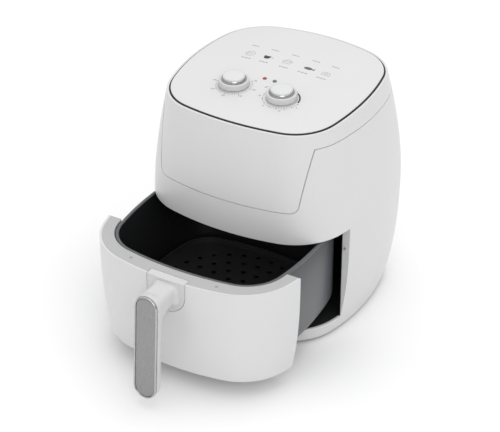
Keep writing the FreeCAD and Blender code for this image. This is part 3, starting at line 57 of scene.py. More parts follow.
def surface(name, colour, roughness, metallic=0.0, grain=900.0, bump=0.04, variation=0.03,
            stretch=(1.0, 1.0, 1.0), blotch=12.0, rough_spread=0.06, edge=0.5, coat=0.0, speckle=0.0):
    """A moulded, coated or metal surface: tone and gloss vary in broad patches, with a fine grain on top."""
    material = bpy.data.materials.new(name)
    material.use_nodes = True
    tree = material.node_tree
    shader = tree.nodes["Principled BSDF"]
    shader.inputs["Metallic"].default_value = metallic
    shader.inputs["Coat Weight"].default_value = coat
    shader.inputs["Coat Roughness"].default_value = 0.12
    place = tree.nodes.new("ShaderNodeTexCoord")
    scale = tree.nodes.new("ShaderNodeMapping")
    scale.inputs["Scale"].default_value = stretch
    tree.links.new(place.outputs["Object"], scale.inputs["Vector"])

    def noise(size, detail):
        item = tree.nodes.new("ShaderNodeTexNoise")
        item.inputs["Scale"].default_value = size
        item.inputs["Detail"].default_value = detail
        tree.links.new(scale.outputs["Vector"], item.inputs["Vector"])
        return item

    broad = noise(blotch, 3.0)
    fine = noise(grain, 4.0)
    tone = tree.nodes.new("ShaderNodeValToRGB")
    dark = [channel * (1 - variation) for channel in colour]
    light = [min(1.0, channel * (1 + variation)) for channel in colour]
    tone.color_ramp.elements[0].position = 0.3
    tone.color_ramp.elements[1].position = 0.7
    tone.color_ramp.elements[0].color = (*dark, 1)
    tone.color_ramp.elements[1].color = (*light, 1)
    tree.links.new(broad.outputs["Fac"], tone.inputs["Fac"])
    paint = tone.outputs["Color"]
    if speckle:
        flecks = noise(grain * 2.2, 1.0)
        mask = tree.nodes.new("ShaderNodeMapRange")
        mask.inputs["From Min"].default_value = 0.62
        mask.inputs["From Max"].default_value = 0.7
        mask.inputs["To Max"].default_value = speckle
        tree.links.new(flecks.outputs["Fac"], mask.inputs["Value"])
        blend = tree.nodes.new("ShaderNodeMix")
        blend.data_type = "RGBA"
        blend.inputs["B"].default_value = (0.5, 0.5, 0.5, 1)
        tree.links.new(mask.outputs["Result"], blend.inputs["Factor"])
        tree.links.new(paint, blend.inputs["A"])
        paint = blend.outputs["Result"]
    tree.links.new(paint, shader.inputs["Base Color"])
    gloss = tree.nodes.new("ShaderNodeMapRange")
    gloss.inputs["From Min"].default_value = 0.3
    gloss.inputs["From Max"].default_value = 0.7
    gloss.inputs["To Min"].default_value = max(0.02, roughness - rough_spread)
    gloss.inputs["To Max"].default_value = min(1.0, roughness + rough_spread)
    tree.links.new(broad.outputs["Fac"], gloss.inputs["Value"])
    tree.links.new(gloss.outputs["Result"], shader.inputs["Roughness"])
    relief = tree.nodes.new("ShaderNodeBump")
    relief.inputs["Strength"].default_value = bump
    relief.inputs["Distance"].default_value = 0.1 * MM
    tree.links.new(fine.outputs["Fac"], relief.inputs["Height"])
    if edge:
        soft = tree.nodes.new("ShaderNodeBevel")
        soft.samples = 4
        soft.inputs["Radius"].default_value = edge * MM
        tree.links.new(soft.outputs["Normal"], relief.inputs["Normal"])
    tree.links.new(relief.outputs["Normal"], shader.inputs["Normal"])
    return material


BRUSHED = (40.0, 40.0, 1.2)
MATERIALS = {
    "shell_white": surface("shell_white", (0.66, 0.66, 0.66), 0.36, coat=0.15, bump=0.05, variation=0.012),
    "lid_white": surface("lid_white", (0.66, 0.66, 0.66), 0.34, coat=0.15, bump=0.05, variation=0.012),
    "drawer_grey": surface("drawer_grey", (0.44, 0.44, 0.445), 0.45, bump=0.08, variation=0.02),
    "handle_white": surface("handle_white", (0.60, 0.60, 0.60), 0.34, coat=0.2, bump=0.04, variation=0.012),
    "chrome_trim": surface(
        "chrome_trim",
        (0.46, 0.46, 0.47),
        0.14,
        metallic=1.0,
        bump=0.01,
        rough_spread=0.04,
    ),
    "brushed_insert": surface("brushed_insert", (0.30, 0.30, 0.305), 0.28, metallic=1.0, grain=160.0,
                              bump=0.35, variation=0.06, stretch=BRUSHED, blotch=30.0),
    "seal_dark": surface("seal_dark", (0.02, 0.02, 0.022), 0.6, bump=0.1),
    "dial_grey": surface("dial_grey", (0.50, 0.50, 0.505), 0.4, bump=0.05),
    "lens_red": surface("lens_red", (0.35, 0.02, 0.03), 0.15, coat=0.6, bump=0.01, grain=300.0),
    "lens_green": surface("lens_green", (0.06, 0.14, 0.05), 0.15, coat=0.6, bump=0.01, grain=300.0),
    "nonstick_pan": surface(
        "nonstick_pan",
        (0.115, 0.122, 0.13),
        0.38,
        bump=0.12,
        variation=0.05,
        speckle=0.08,
    ),
    "nonstick_tray": surface(
        "nonstick_tray",
        (0.035, 0.035, 0.038),
        0.38,
        bump=0.18,
        variation=0.1,
        speckle=0.12,
    ),
    "silicone": surface("silicone", (0.02, 0.02, 0.02), 0.62, bump=0.1),
    "liner_black": surface("liner_black", (0.012, 0.012, 0.013), 0.42, bump=0.15, variation=0.1),
    "base_black": surface("base_black", (0.03, 0.03, 0.032), 0.55, bump=0.3, variation=0.08),
    "foot_rubber": surface("foot_rubber", (0.025, 0.025, 0.025), 0.75, bump=0.3, variation=0.1),
    "sheet_steel": surface("sheet_steel", (0.55, 0.56, 0.57), 0.35, metallic=1.0, bump=0.1, grain=400.0,
                           stretch=(1.0, 12.0, 1.0), variation=0.06),
    "element_steel": surface("element_steel", (0.17, 0.155, 0.145), 0.45, metallic=0.8, bump=0.2,
                             variation=0.2, blotch=60.0),
    "wire_steel": surface("wire_steel", (0.6, 0.6, 0.61), 0.2, metallic=1.0, bump=0.02),
    "zinc_screw": surface("zinc_screw", (0.55, 0.55, 0.54), 0.3, metallic=1.0, bump=0.1, variation=0.08),
    "motor_steel": surface("motor_steel", (0.33, 0.33, 0.34), 0.4, metallic=0.9, bump=0.3, grain=300.0,
                           stretch=(1.0, 1.0, 30.0)),
    "fan_aluminium": surface("fan_aluminium", (0.66, 0.66, 0.67), 0.3, metallic=1.0, bump=0.08),
    "control_plastic": surface("control_plastic", (0.05, 0.05, 0.052), 0.5, bump=0.15),
    "inlet_grey": surface("inlet_grey", (0.30, 0.30, 0.305), 0.5, bump=0.15),
    "ink_grey": surface("ink_grey", (0.10, 0.10, 0.105), 0.5, bump=0.02, edge=0.0),
    "ink_light": surface("ink_light", (0.20, 0.20, 0.21), 0.5, bump=0.02, edge=0.0),
    "ink_dark": surface("ink_dark", (0.03, 0.03, 0.032), 0.45, bump=0.02, edge=0.0),
    "ink_teal": surface("ink_teal", (0.05, 0.26, 0.30), 0.45, bump=0.02, edge=0.0),
    "pan_black": surface("pan_black", (0.014, 0.0145, 0.016), 0.3, bump=0.14, variation=0.1, speckle=0.06),
    "rim_grey": surface("rim_grey", (0.095, 0.098, 0.10), 0.32, bump=0.06, variation=0.03),
}

SLOT_OF = {entry["node"]: entry["material_slot"] for entry in frame["record"]["subparts"]}
for node_name, item in NODES.items():
    item.data.materials.clear()
    item.data.materials.append(MATERIALS[SLOT_OF[node_name]])
# the two plugs in the drawer's top are a shade darker than the moulding round them
NODES["drawer_plugs"].data.materials[0] = MATERIALS["inlet_grey"]


# ---------------------------------------------------------------- mesh helpers

def piece(name, vertices, faces, material, body, slot, smooth=True):
    """A mesh piece with its material and the body it rides on; the record's slot is not used."""
    mesh = bpy.data.meshes.new(name)
    mesh.from_pydata([tuple(v) for v in vertices], [], faces)
    mesh.update()
    shape = bmesh.new()
    shape.from_mesh(mesh)
    bmesh.ops.recalc_face_normals(shape, faces=shape.faces)
    shape.to_mesh(mesh)
    shape.free()
    item = bpy.data.objects.new(name, mesh)
    bpy.context.collection.objects.link(item)
    mesh.materials.append(MATERIALS[material])
    for face in mesh.polygons:
        face.use_smooth = smooth
    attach(item, body)
    return item


def stack(rings, close_start=True, close_end=True):
    """Vertices and faces of a skin through rings of equal length."""
    vertices = [point for ring in rings for point in ring]
    count = len(rings[0])
    faces = []
    for level in range(len(rings) - 1):
        for index in range(count):
            after = (index + 1) % count
            faces.append((
                level * count + index,
                level * count + after,
                (level + 1) * count + after,
                (level + 1) * count + index,
            ))
    if close_start:
        faces.append(tuple(range(count))[::-1])
    if close_end:
        faces.append(tuple((len(rings) - 1) * count + index for index in range(count)))
    return vertices, faces


# ---------------------------------------------------------------- camera, light and floor

AZIMUTH = math.radians(30.78)
ELEVATION = math.radians(32.52)
DISTANCE = 2.2278
LENS = 132.06
SENSOR = 36.0
NEAREST = 0.05
TARGET = Vector((-0.0152, -0.0430, 0.1117))
back = Vector((
    math.sin(AZIMUTH) * math.cos(ELEVATION),
    -math.cos(AZIMUTH) * math.cos(ELEVATION),
    math.sin(ELEVATION),
))
camera = bpy.data.objects.new("camera", bpy.data.cameras.new("camera"))
camera.data.lens = LENS
camera.data.sensor_width = SENSOR
camera.data.clip_start = NEAREST
camera.location = TARGET + back * DISTANCE
camera.rotation_euler = back.to_track_quat("Z", "Y").to_euler()
bpy.context.collection.objects.link(camera)
bpy.context.scene.camera = camera

FLOOR_HALF = 7.0
FLOOR_CORNERS = ((-1, -1), (1, -1), (1, 1), (-1, 1))
floor_mesh = bpy.data.meshes.new("floor")
floor_mesh.from_pydata([(x * FLOOR_HALF, y * FLOOR_HALF, 0) for x, y in FLOOR_CORNERS], [], [(0, 1, 2, 3)])
floor = bpy.data.objects.new("floor", floor_mesh)
bpy.context.collection.objects.link(floor)
PAPER = surface("floor_paper", (0.93, 0.93, 0.93), 0.9, bump=0.05, variation=0.004, blotch=2.0, edge=0.0)
floor_mesh.materials.append(PAPER)

# the studio is dark along the horizon, so that chrome shows an edge, and white overhead
SKY_STRENGTH = 1.0
HORIZON_AT = 0.5
HORIZON_TONE = (0.10, 0.10, 0.105, 1)
OVERHEAD_AT = 0.68
OVERHEAD_TONE = (1, 1, 1, 1)
world = bpy.data.worlds.new("studio")
bpy.context.scene.world = world
world.use_nodes = True
tree = world.node_tree
sky = tree.nodes["Background"]
sky.inputs["Strength"].default_value = SKY_STRENGTH
direction = tree.nodes.new("ShaderNodeTexCoord")
split = tree.nodes.new("ShaderNodeSeparateXYZ")
shade = tree.nodes.new("ShaderNodeValToRGB")
shade.color_ramp.elements[0].position = HORIZON_AT
shade.color_ramp.elements[0].color = HORIZON_TONE
shade.color_ramp.elements[1].position = OVERHEAD_AT
shade.color_ramp.elements[1].color = OVERHEAD_TONE
lift = tree.nodes.new("ShaderNodeMapRange")
lift.inputs["From Min"].default_value = -1.0
tree.links.new(direction.outputs["Generated"], split.inputs["Vector"])
tree.links.new(split.outputs["Z"], lift.inputs["Value"])
tree.links.new(lift.outputs["Result"], shade.inputs["Fac"])
tree.links.new(shade.outputs["Color"], sky.inputs["Color"])


def soft_light(name, place, aim, size, power):
    """A rectangular studio light aimed at a point, in metres and watts."""
    lamp = bpy.data.objects.new(name, bpy.data.lights.new(name, "AREA"))
    lamp.data.shape = "RECTANGLE"
    lamp.data.size, lamp.data.size_y = size
    lamp.data.energy = power
    lamp.location = place
    lamp.rotation_euler = (Vector(place) - Vector(aim)).to_track_quat("Z", "Y").to_euler()
    bpy.context.collection.objects.link(lamp)


MIDDLE = (0.0, -0.08, 0.15)
soft_light("key", (1.5, -2.2, 1.7), MIDDLE, (1.8, 1.4), 16)
soft_light("top", (0.2, 0.3, 2.4), MIDDLE, (1.6, 1.6), 9)
bpy.context.scene.view_settings.view_transform = "Standard"

# ---------------------------------------------------------------- knobs: turned pieces with rounded edges

TURN_STEPS = 96


def joint_frame(joint):
    """A frame at a joint's place with Z along its axis."""
    axis = Vector(JOINTS[joint]["axis"])
    axis = axis if axis.z > 0 else -axis
    turn = Vector((0, 0, 1)).rotation_difference(axis).to_matrix().to_4x4()
    return Matrix.Translation(Vector(JOINTS[joint]["pos_m"])) @ turn


def lathe(name, profile, matrix, material, body, slot):
    """Turn a profile of (radius, height) points in millimetres; it starts and ends on or near the axis."""
    rings = [
        [
            matrix @ Vector((
                r * MM * math.cos(2 * math.pi * step / TURN_STEPS),
                r * MM * math.sin(2 * math.pi * step / TURN_STEPS),
                z * MM,
            ))
            for step in range(TURN_STEPS)
        ]
        for r, z in profile
    ]
    return piece(name, *stack(rings), material, body, slot)


def rounded(corner, start, end, steps=5):
    """Points of a quarter bend from start to end round a corner, all (radius, height)."""
    points = []
    for step in range(steps + 1):
        t = step / steps
        a, b, c = (1 - t) ** 2, 2 * t * (1 - t), t ** 2
        points.append((
            a * start[0] + b * corner[0] + c * end[0],
            a * start[1] + b * corner[1] + c * end[1],
        ))
    return points


SKIRT = 18.0
SKIRT_TOP = 8.1
BAND = 14.6
BAND_TOP = 11.7
for side in ("temperature", "timer"):
    here = joint_frame(f"{side}_turn")
    body = f"{side}_control"
    skirt = lathe(f"{side}_skirt", [
        (3.0, 1.1),
        (SKIRT - 0.4, 1.1),
        *rounded((SKIRT, 1.1), (SKIRT - 0.4, 1.1), (SKIRT, 1.5)),
        (SKIRT - 0.15, 5.0),
        *rounded((SKIRT - 0.3, SKIRT_TOP), (SKIRT - 0.25, 6.6), (SKIRT - 1.8, SKIRT_TOP)),
        (15.4, SKIRT_TOP),
        *rounded((15.0, SKIRT_TOP), (15.4, SKIRT_TOP), (15.0, SKIRT_TOP - 0.3)),
        (14.2, SKIRT_TOP - 0.3),
        (3.0, SKIRT_TOP - 0.3),
    ], here, "handle_white", body, "handle_white")
    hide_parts(f"{side}_knob")
    band = lathe(f"{side}_band", [
        (10.0, SKIRT_TOP - 0.2),
        (BAND - 0.3, SKIRT_TOP - 0.2),
        *rounded((BAND, SKIRT_TOP - 0.2), (BAND - 0.3, SKIRT_TOP - 0.2), (BAND, SKIRT_TOP + 0.2)),
        (BAND - 0.08, SKIRT_TOP + 1.0),
        (BAND - 0.35, SKIRT_TOP + 1.9),
        (BAND - 0.75, SKIRT_TOP + 2.7),
        (BAND - 1.15, SKIRT_TOP + 3.25),
        (BAND - 1.7, BAND_TOP),
        (10.0, BAND_TOP),
    ], here, "chrome_trim", body, "chrome_trim")
    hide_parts(f"{side}_knob_band")
    cap = lathe(f"{side}_cap", [
        (0.02, BAND_TOP - 1.0),
        (BAND - 2.0, BAND_TOP - 1.0),
        (BAND - 1.6, BAND_TOP),
        (BAND - 1.6, BAND_TOP + 0.5),
        *rounded((BAND - 1.7, BAND_TOP + 1.5), (BAND - 1.6, BAND_TOP + 0.5), (BAND - 3.0, BAND_TOP + 1.8)),
        (BAND - 5.0, BAND_TOP + 2.1),
        (BAND - 9.0, BAND_TOP + 2.35),
        (0.02, BAND_TOP + 2.45),
    ], here, "lid_white", body, "lid_white")
    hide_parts(f"{side}_knob_cap")


# ---------------------------------------------------------------- printing on the lid

lid_tree = BVHTree.FromObject(NODES["lid_panel"], bpy.context.evaluated_depsgraph_get())
INK = 0.06 * MM
LID_SEARCH = 0.4


def on_lid(x, y, lift=0.0):
    """The point of the lid's surface over x, y in metres."""
    hit = lid_tree.ray_cast(Vector((x, y, LID_SEARCH)), Vector((0, 0, -1)))[0]
    return Vector((x, y, hit.z + lift))


class Ink:
    """Printed marks gathered into one thin mesh that follows the lid."""

    def __init__(self, name, material):
        self.name = name
        self.material = material
        self.vertices = []
        self.faces = []

    def shape(self, points):
        """A filled outline of points in millimetres."""
        count = len(points)
        first = len(self.vertices)
        for lift in (INK, -INK / 2):
            self.vertices += [on_lid(x * MM, y * MM, lift) for x, y in points]
        self.faces.append(tuple(first + i for i in range(count)))
        self.faces.append(tuple(first + count + i for i in range(count))[::-1])
        for i in range(count):
            after = (i + 1) % count
            self.faces.append((first + i, first + after, first + count + after, first + count + i))

    def ribbon(self, points, width, closed=False):
        """A line of even width through points, drawn as short four-sided stretches."""
        stops = points + points[:1] if closed else points
        for (x0, y0), (x1, y1) in zip(stops, stops[1:]):
            length = math.hypot(x1 - x0, y1 - y0)
            nx = -(y1 - y0) / length * width / 2
            ny = (x1 - x0) / length * width / 2
            self.shape([(x0 + nx, y0 + ny), (x0 - nx, y0 - ny), (x1 - nx, y1 - ny), (x1 + nx, y1 + ny)])

    def text(self, words, x, y, size, turn=0.0):
        """Figures as a flat mesh, centred on x, y."""
        curve = bpy.data.curves.new("figures", "FONT")
        curve.body = words
        curve.size = size
        curve.align_x = "CENTER"
        curve.align_y = "CENTER"
        carrier = bpy.data.objects.new("figures", curve)
        mesh = bpy.data.meshes.new_from_object(carrier)
        first = len(self.vertices)
        cosine, sine = math.cos(turn), math.sin(turn)
        for v in mesh.vertices:
            across = x + v.co.x * cosine - v.co.y * sine
            along = y + v.co.x * sine + v.co.y * cosine
            self.vertices.append(on_lid(across * MM, along * MM, INK))
        self.faces += [tuple(first + i for i in face.vertices) for face in mesh.polygons]
        bpy.data.objects.remove(carrier)

    def finish(self):
        return piece(
            self.name,
            self.vertices,
            self.faces,
            self.material,
            "housing",
            "dial_grey",
            smooth=False,
        )


def arc(x, y, radius, start, end, steps):
    """Points of an arc in millimetres; angles in degrees."""
    return [
        (
            x + radius * math.cos(math.radians(start + (end - start) * i / steps)),
            y + radius * math.sin(math.radians(start + (end - start) * i / steps)),
        )
        for i in range(steps + 1)
    ]


def knob_place(joint):
    place = JOINTS[joint]["pos_m"]
    return place[0] / MM, place[1] / MM


grey = Ink("dial_marks", "ink_grey")
dark = Ink("dark_marks", "ink_dark")
light = Ink("label_marks", "ink_light")
teal = Ink("timer_pointer", "ink_teal")

# temperature scale: fine ticks over three quarters of a turn, figures at the long ones
TICKS = 42
TICKS_PER_FIGURE = 7
TICK_INNER = 20.6
TICK_LONG = 23.2
TICK_SHORT = 22.0
SCALE_START = 135
SCALE_SWEEP = 270
left_x, left_y = knob_place("temperature_turn")
for step in range(TICKS + 1):
    angle = math.radians(SCALE_START + step * SCALE_SWEEP / TICKS)
    long = step % TICKS_PER_FIGURE == 0
    outer = TICK_LONG if long else TICK_SHORT
    start = (left_x + TICK_INNER * math.cos(angle), left_y + TICK_INNER * math.sin(angle))
    end = (left_x + outer * math.cos(angle), left_y + outer * math.sin(angle))
    grey.ribbon([start, end], 0.6 if long else 0.42)
for index, figure in enumerate(("80", "100", "120", "140", "160", "180", "200")):
    angle = math.radians(SCALE_START + SCALE_SWEEP - index * SCALE_SWEEP / 6)
    grey.text(figure, left_x + 26.5 * math.cos(angle), left_y + 25.6 * math.sin(angle), 3.2)

# timer scale: dots round the dial, a thick arc for the first minutes, figures every five
DOTS = 36
DOT_RADIUS = 22.2
DOT_START = 355
DOT_SWEEP = 290
right_x, right_y = knob_place("timer_turn")
for step in range(DOTS + 1):
    angle = DOT_START - step * DOT_SWEEP / DOTS
    x = right_x + DOT_RADIUS * math.cos(math.radians(angle))
    y = right_y + DOT_RADIUS * math.sin(math.radians(angle))
    size = 0.5 if step % 3 else 0.8
    grey.shape(arc(x, y, size, 0, 324, 9))
for index, figure in enumerate(("5", "10", "15", "20", "25", "30")):
    angle = math.radians(340 - index * 48)
    grey.text(figure, right_x + 26.2 * math.cos(angle), right_y + 25.8 * math.sin(angle), 3.0)
dark.ribbon(arc(right_x, right_y, 20.9, 2, 58, 16), 1.9)
teal.ribbon([(3.0, -40.6), (5.4, -37.6)], 1.1)
teal.shape([(5.9, -37.0), (4.2, -37.4), (5.6, -38.8)])

# five cooking symbols, each with a short bar over and under it for its settings
ICON_Y = 22.0
for x, y, length in (
    (-57.5, 42, 10), (-30, 42, 10), (-2, 42, 10), (26, 42, 10), (52, 42, 10),
    (-52, 10, 13), (-28, 10, 12), (-1, 10, 12), (25, 10, 13), (50, 10, 12),
):
    for part in range(5):
        start = x - length / 2 + part * length / 5
        light.ribbon([(start, y), (start + length / 5 * 0.72, y)], 1.1 if part % 2 else 1.5)
light.ribbon(arc(-53, ICON_Y, 5.6, 0, 345, 20), 0.45, closed=True)
light.ribbon(arc(-54, ICON_Y, 2.6, 0, 345, 12), 0.4, closed=True)
dark.shape([(-35, 25.5), (-25.6, 25.5), (-26.8, 20.2), (-28.6, 18.6), (-32, 18.6), (-33.8, 20.2)])
light.ribbon(arc(-24.6, 23.2, 1.9, -80, 80, 8), 0.5)
light.ribbon([(-9, 25.6), (-7.6, 19.2), (1.6, 19.2), (3.0, 25.6)], 0.45, closed=True)
light.ribbon([(-7.6, 22.6), (1.8, 22.6)], 0.4)
light.ribbon(arc(-3, 25.6, 3.4, 0, 180, 10), 0.4)
fish = [k * math.pi / 12 for k in range(24)]
grey.shape([(26 + 5.6 * math.cos(t), ICON_Y + 2.9 * math.sin(t)) for t in fish])
grey.shape([(31, ICON_Y), (34.6, ICON_Y + 2.6), (34.0, ICON_Y), (34.6, ICON_Y - 2.6)])
light.ribbon([(44.6, 18.4), (55.4, 18.4), (54.0, 25.0), (46.0, 25.0)], 0.45, closed=True)
light.ribbon(arc(50, 21.6, 2.0, 0, 330, 11), 0.4, closed=True)
for sheet in (grey, dark, light, teal):
    sheet.finish()

# ---------------------------------------------------------------- handle

low, high = (Vector(corner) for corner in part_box("handle_bezel"))
LEAN = math.radians(4.35)
BEZEL_DEPTH = 3.0
GRIP_WIDTH = (high.x - low.x) / MM
grip_origin = Vector((0, low.y, low.z + BEZEL_DEPTH * MM * math.sin(LEAN)))
GRIP_LENGTH = (high.z - grip_origin.z) / math.cos(LEAN) / MM
grip_frame = Matrix.Translation(grip_origin) @ Matrix.Rotation(-LEAN, 4, "X")
ARC_STEPS = 24


def stadium(width, length, inset, depth):
    """An upright slot outline in the grip's frame, drawn in by an inset, at a depth behind the front."""
    r = width / 2 - inset
    points = []
    for centre, start in ((width / 2, math.pi), (length - width / 2, 0.0)):
        for step in range(ARC_STEPS + 1):
            angle = start + math.pi * step / ARC_STEPS
            across = r * math.cos(angle)
            up = centre + r * math.sin(angle)
            points.append(grip_frame @ Vector((across * MM, depth * MM, up * MM)))
    return points


def slot_skin(name, width, length, levels, material, slot, replaced):
    """A skin through slot outlines; levels are (inset, depth) pairs."""
    rings = [stadium(width, length, inset, depth) for inset, depth in levels]
    item = piece(name, *stack(rings), material, "drawer", slot)
    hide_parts(replaced)
    return item


BEZEL_WALL = 2.0
slot_skin("bezel_ring", GRIP_WIDTH, GRIP_LENGTH, [
    (BEZEL_WALL, 2.8),
    (BEZEL_WALL, 0.6),
    (BEZEL_WALL - 0.35, 0.15),
    (BEZEL_WALL - 0.8, 0.0),
    (0.8, 0.1),
    (0.25, 0.45),
    (0.0, 1.1),
    (0.0, 2.9),
    (0.3, 3.0),
    (BEZEL_WALL - 0.1, 3.0),
], "chrome_trim", "chrome_trim", "handle_bezel")
slot_skin("brushed_inlay", GRIP_WIDTH, GRIP_LENGTH, [
    (BEZEL_WALL + 0.02, 2.9),
    (BEZEL_WALL + 0.05, 1.4),
    (BEZEL_WALL + 0.5, 0.95),
    (BEZEL_WALL + 1.4, 0.75),
    (BEZEL_WALL + 5.0, 0.6),
    (GRIP_WIDTH / 2 - 0.3, 0.5),
], "brushed_insert", "brushed_insert", "handle_insert")

plate_low, plate_high = (Vector(corner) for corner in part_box("handle_plate"))
DRAWER_FACE = plate_low.y
ARM_TOP = plate_high.z - 5.2 * MM
ARM_HALF = 14.0


def arm_section(y, top, bottom, half, corner):
    """A rounded-rectangle section of the arm at y, in metres, with millimetre half width and corner."""
    points = []
    for cx, cz, start in ((1, 1, 0), (-1, 1, 90), (-1, -1, 180), (1, -1, 270)):
        centre_z = (top - corner * MM) if cz > 0 else (bottom + corner * MM)
        for step in range(7):
            angle = math.radians(start + step * 15)
            points.append(Vector((
                (cx * (half - corner) + corner * math.cos(angle)) * MM,
                y,
                centre_z + corner * MM * math.sin(angle),
            )))
    return points


arm_bottom = ARM_TOP - 25 * MM
grip_back = grip_frame @ Vector((0, (BEZEL_DEPTH + 5) * MM, (GRIP_LENGTH - 18) * MM))
arm_rings = [
    arm_section(DRAWER_FACE + 2.4 * MM, ARM_TOP + 2.5 * MM, arm_bottom - 4.5 * MM, 18.5, 10),
    arm_section(DRAWER_FACE - 0.4 * MM, ARM_TOP + 1.5 * MM, arm_bottom - 3.0 * MM, 17.0, 9),
    arm_section(DRAWER_FACE - 3 * MM, ARM_TOP + 0.3 * MM, arm_bottom - 0.6 * MM, 15.0, 8),
    arm_section(DRAWER_FACE - 7 * MM, ARM_TOP, arm_bottom, ARM_HALF, 7),
    arm_section(DRAWER_FACE - 15 * MM, ARM_TOP, arm_bottom, ARM_HALF, 7),
    arm_section(DRAWER_FACE - 22 * MM, ARM_TOP + 0.2 * MM, arm_bottom - 2.5 * MM, ARM_HALF, 7),
    arm_section(DRAWER_FACE - 28 * MM, ARM_TOP + 0.6 * MM, arm_bottom - 9.0 * MM, ARM_HALF, 7),
    arm_section(grip_back.y, ARM_TOP + 1.0 * MM, arm_bottom - 20 * MM, ARM_HALF, 7),
]
grip_rings = [
    stadium(GRIP_WIDTH, GRIP_LENGTH, inset, depth)
    for inset, depth in (
        (0.35, BEZEL_DEPTH + 0.05),
        (0.3, 7.0),
        (0.5, 11.0),
        (1.4, 13.6),
        (3.2, 15.2),
        (6.0, 15.9),
        (9.0, 16.0),
    )
]
vertices, faces = stack(arm_rings)
more_vertices, more_faces = stack(grip_rings)
faces += [tuple(index + len(vertices) for index in face) for face in more_faces]
vertices += more_vertices
grip = piece("grip_moulding", vertices, faces, "handle_white", "drawer", "handle_white")
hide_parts("handle_grip")


def applied(item):
    """Bake an item's modifiers into its mesh."""
    mesh = bpy.data.meshes.new_from_object(item.evaluated_get(bpy.context.evaluated_depsgraph_get()))
    item.modifiers.clear()
    item.data = mesh
    for face in mesh.polygons:
        face.use_smooth = True


SKIN_CELL = 0.7 * MM
SKIN_PASSES = 14
remesh = grip.modifiers.new("one_skin", "REMESH")
remesh.mode = "VOXEL"
remesh.voxel_size = SKIN_CELL
smooth = grip.modifiers.new("soft_edges", "SMOOTH")
smooth.factor = 0.5
smooth.iterations = SKIN_PASSES
applied(grip)

# ---------------------------------------------------------------- pan: grey outside, black lining, rolled rim

pan_low, pan_high = (Vector(corner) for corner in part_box("pan"))
PAN_HALF = (pan_high.x - pan_low.x) / 2 / MM
PAN_LONG = (pan_high.y - pan_low.y) / 2 / MM
PAN_Y = (pan_high.y + pan_low.y) / 2
PAN_SIDE = 380.0
PAN_CORNER = 51.0
PAN_EDGE = 18.0
RIM = 4.4
SHEET = 1.2


def corner_centre(a, b, side, corner):
    """Centre of the corner arc that touches both side arcs from inside."""
    x, y = a - corner, b - corner
    reach = side - corner
    for step in range(30):
        miss_x = x * x + (y + side - b) ** 2 - reach * reach
        miss_y = (x + side - a) ** 2 + y * y - reach * reach
        xx, xy, yx, yy = 2 * x, 2 * (y + side - b), 2 * (x + side - a), 2 * y
        scale = xx * yy - xy * yx
        x, y = x - (miss_x * yy - miss_y * xy) / scale, y - (miss_y * xx - miss_x * yx) / scale
    return x, y


PAN_X, PAN_CY = corner_centre(PAN_HALF, PAN_LONG, PAN_SIDE, PAN_CORNER)
FLAT = math.atan2(PAN_CY, PAN_X + PAN_SIDE - PAN_HALF)
STEEP = math.atan2(PAN_CY + PAN_SIDE - PAN_LONG, PAN_X)
SIDE_STEPS = 16
CORNER_STEPS = 20


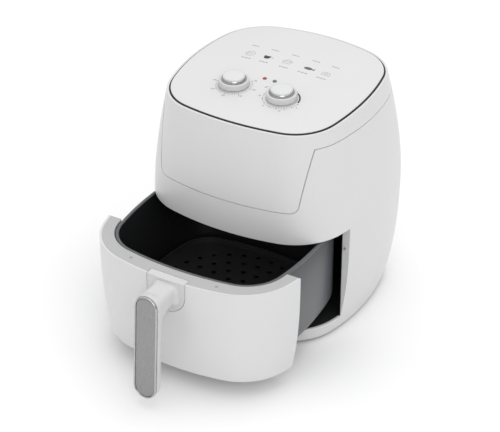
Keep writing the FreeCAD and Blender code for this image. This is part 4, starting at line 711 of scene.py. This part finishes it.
def pan_ring(inset, z):
    """The pan's outline drawn in by an inset in millimetres, at height z in metres."""
    half = math.pi
    arcs = (
        (PAN_HALF - PAN_SIDE, 0, PAN_SIDE, -FLAT, FLAT, SIDE_STEPS),
        (PAN_X, PAN_CY, PAN_CORNER, FLAT, STEEP, CORNER_STEPS),
        (0, PAN_LONG - PAN_SIDE, PAN_SIDE, STEEP, half - STEEP, SIDE_STEPS),
        (-PAN_X, PAN_CY, PAN_CORNER, half - STEEP, half - FLAT, CORNER_STEPS),
        (PAN_SIDE - PAN_HALF, 0, PAN_SIDE, half - FLAT, half + FLAT, SIDE_STEPS),
        (-PAN_X, -PAN_CY, PAN_CORNER, half + FLAT, half + STEEP, CORNER_STEPS),
        (0, PAN_SIDE - PAN_LONG, PAN_SIDE, half + STEEP, 2 * half - STEEP, SIDE_STEPS),
        (PAN_X, -PAN_CY, PAN_CORNER, 2 * half - STEEP, 2 * half - FLAT, CORNER_STEPS),
    )
    points = []
    for cx, cy, radius, start, end, steps in arcs:
        r = radius - inset
        for step in range(steps):
            angle = start + (end - start) * step / steps
            x = (cx + r * math.cos(angle)) * MM
            y = PAN_Y + (cy + r * math.sin(angle)) * MM
            points.append(Vector((x, y, z)))
    return points


def pan_skin(name, levels, material, slot, close_start=False, close_end=False):
    rings = [pan_ring(inset, z) for inset, z in levels]
    item = piece(name, *stack(rings, close_start, close_end), material, "drawer", slot)
    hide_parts("pan")
    return item


def bowl(inset, floor, radius, steps=8):
    """Levels of a wall's round lower edge, from the wall down to the floor."""
    return [
        (
            inset + radius * (1 - math.cos(math.radians(90 * step / steps))),
            floor + radius * MM * (1 - math.sin(math.radians(90 * step / steps))),
        )
        for step in range(steps + 1)
    ]


TOP = pan_high.z
FLOOR = pan_low.z
outside_wall = RIM - SHEET
pan_skin("pan_outside", [
    (RIM - 0.35, TOP - 3.3 * MM),
    (RIM - 0.35, TOP - 3.9 * MM),
    (outside_wall, TOP - 4.2 * MM),
    *bowl(outside_wall, FLOOR, PAN_EDGE),
    (outside_wall + PAN_EDGE + 20, FLOOR),
    (outside_wall + PAN_EDGE + 22, FLOOR + 0.9 * MM),
    (outside_wall + PAN_EDGE + 25, FLOOR + 1.0 * MM),
], "nonstick_pan", "nonstick_pan", close_end=True)
pan_skin("pan_rim_roll", [
    (RIM - 0.1, TOP - 1.2 * MM),
    (RIM - 0.3, TOP - 0.5 * MM),
    (RIM - 0.9, TOP - 0.08 * MM),
    (1.5, TOP),
    (0.6, TOP - 0.2 * MM),
    (0.12, TOP - 0.8 * MM),
    (0.0, TOP - 1.6 * MM),
    (0.15, TOP - 2.6 * MM),
    (0.7, TOP - 3.3 * MM),
    (outside_wall - 0.4, TOP - 3.5 * MM),
    (RIM - 0.3, TOP - 3.5 * MM),
], "rim_grey", "nonstick_pan")
pan_skin("pan_lining", [
    (RIM - 0.15, TOP - 1.2 * MM),
    (RIM, TOP - 2.0 * MM),
    (RIM, TOP - 12 * MM),
    *bowl(RIM, FLOOR + SHEET * MM, PAN_EDGE - SHEET),
    (RIM + PAN_EDGE + 10, FLOOR + SHEET * MM),
], "pan_black", "nonstick_tray", close_end=True)
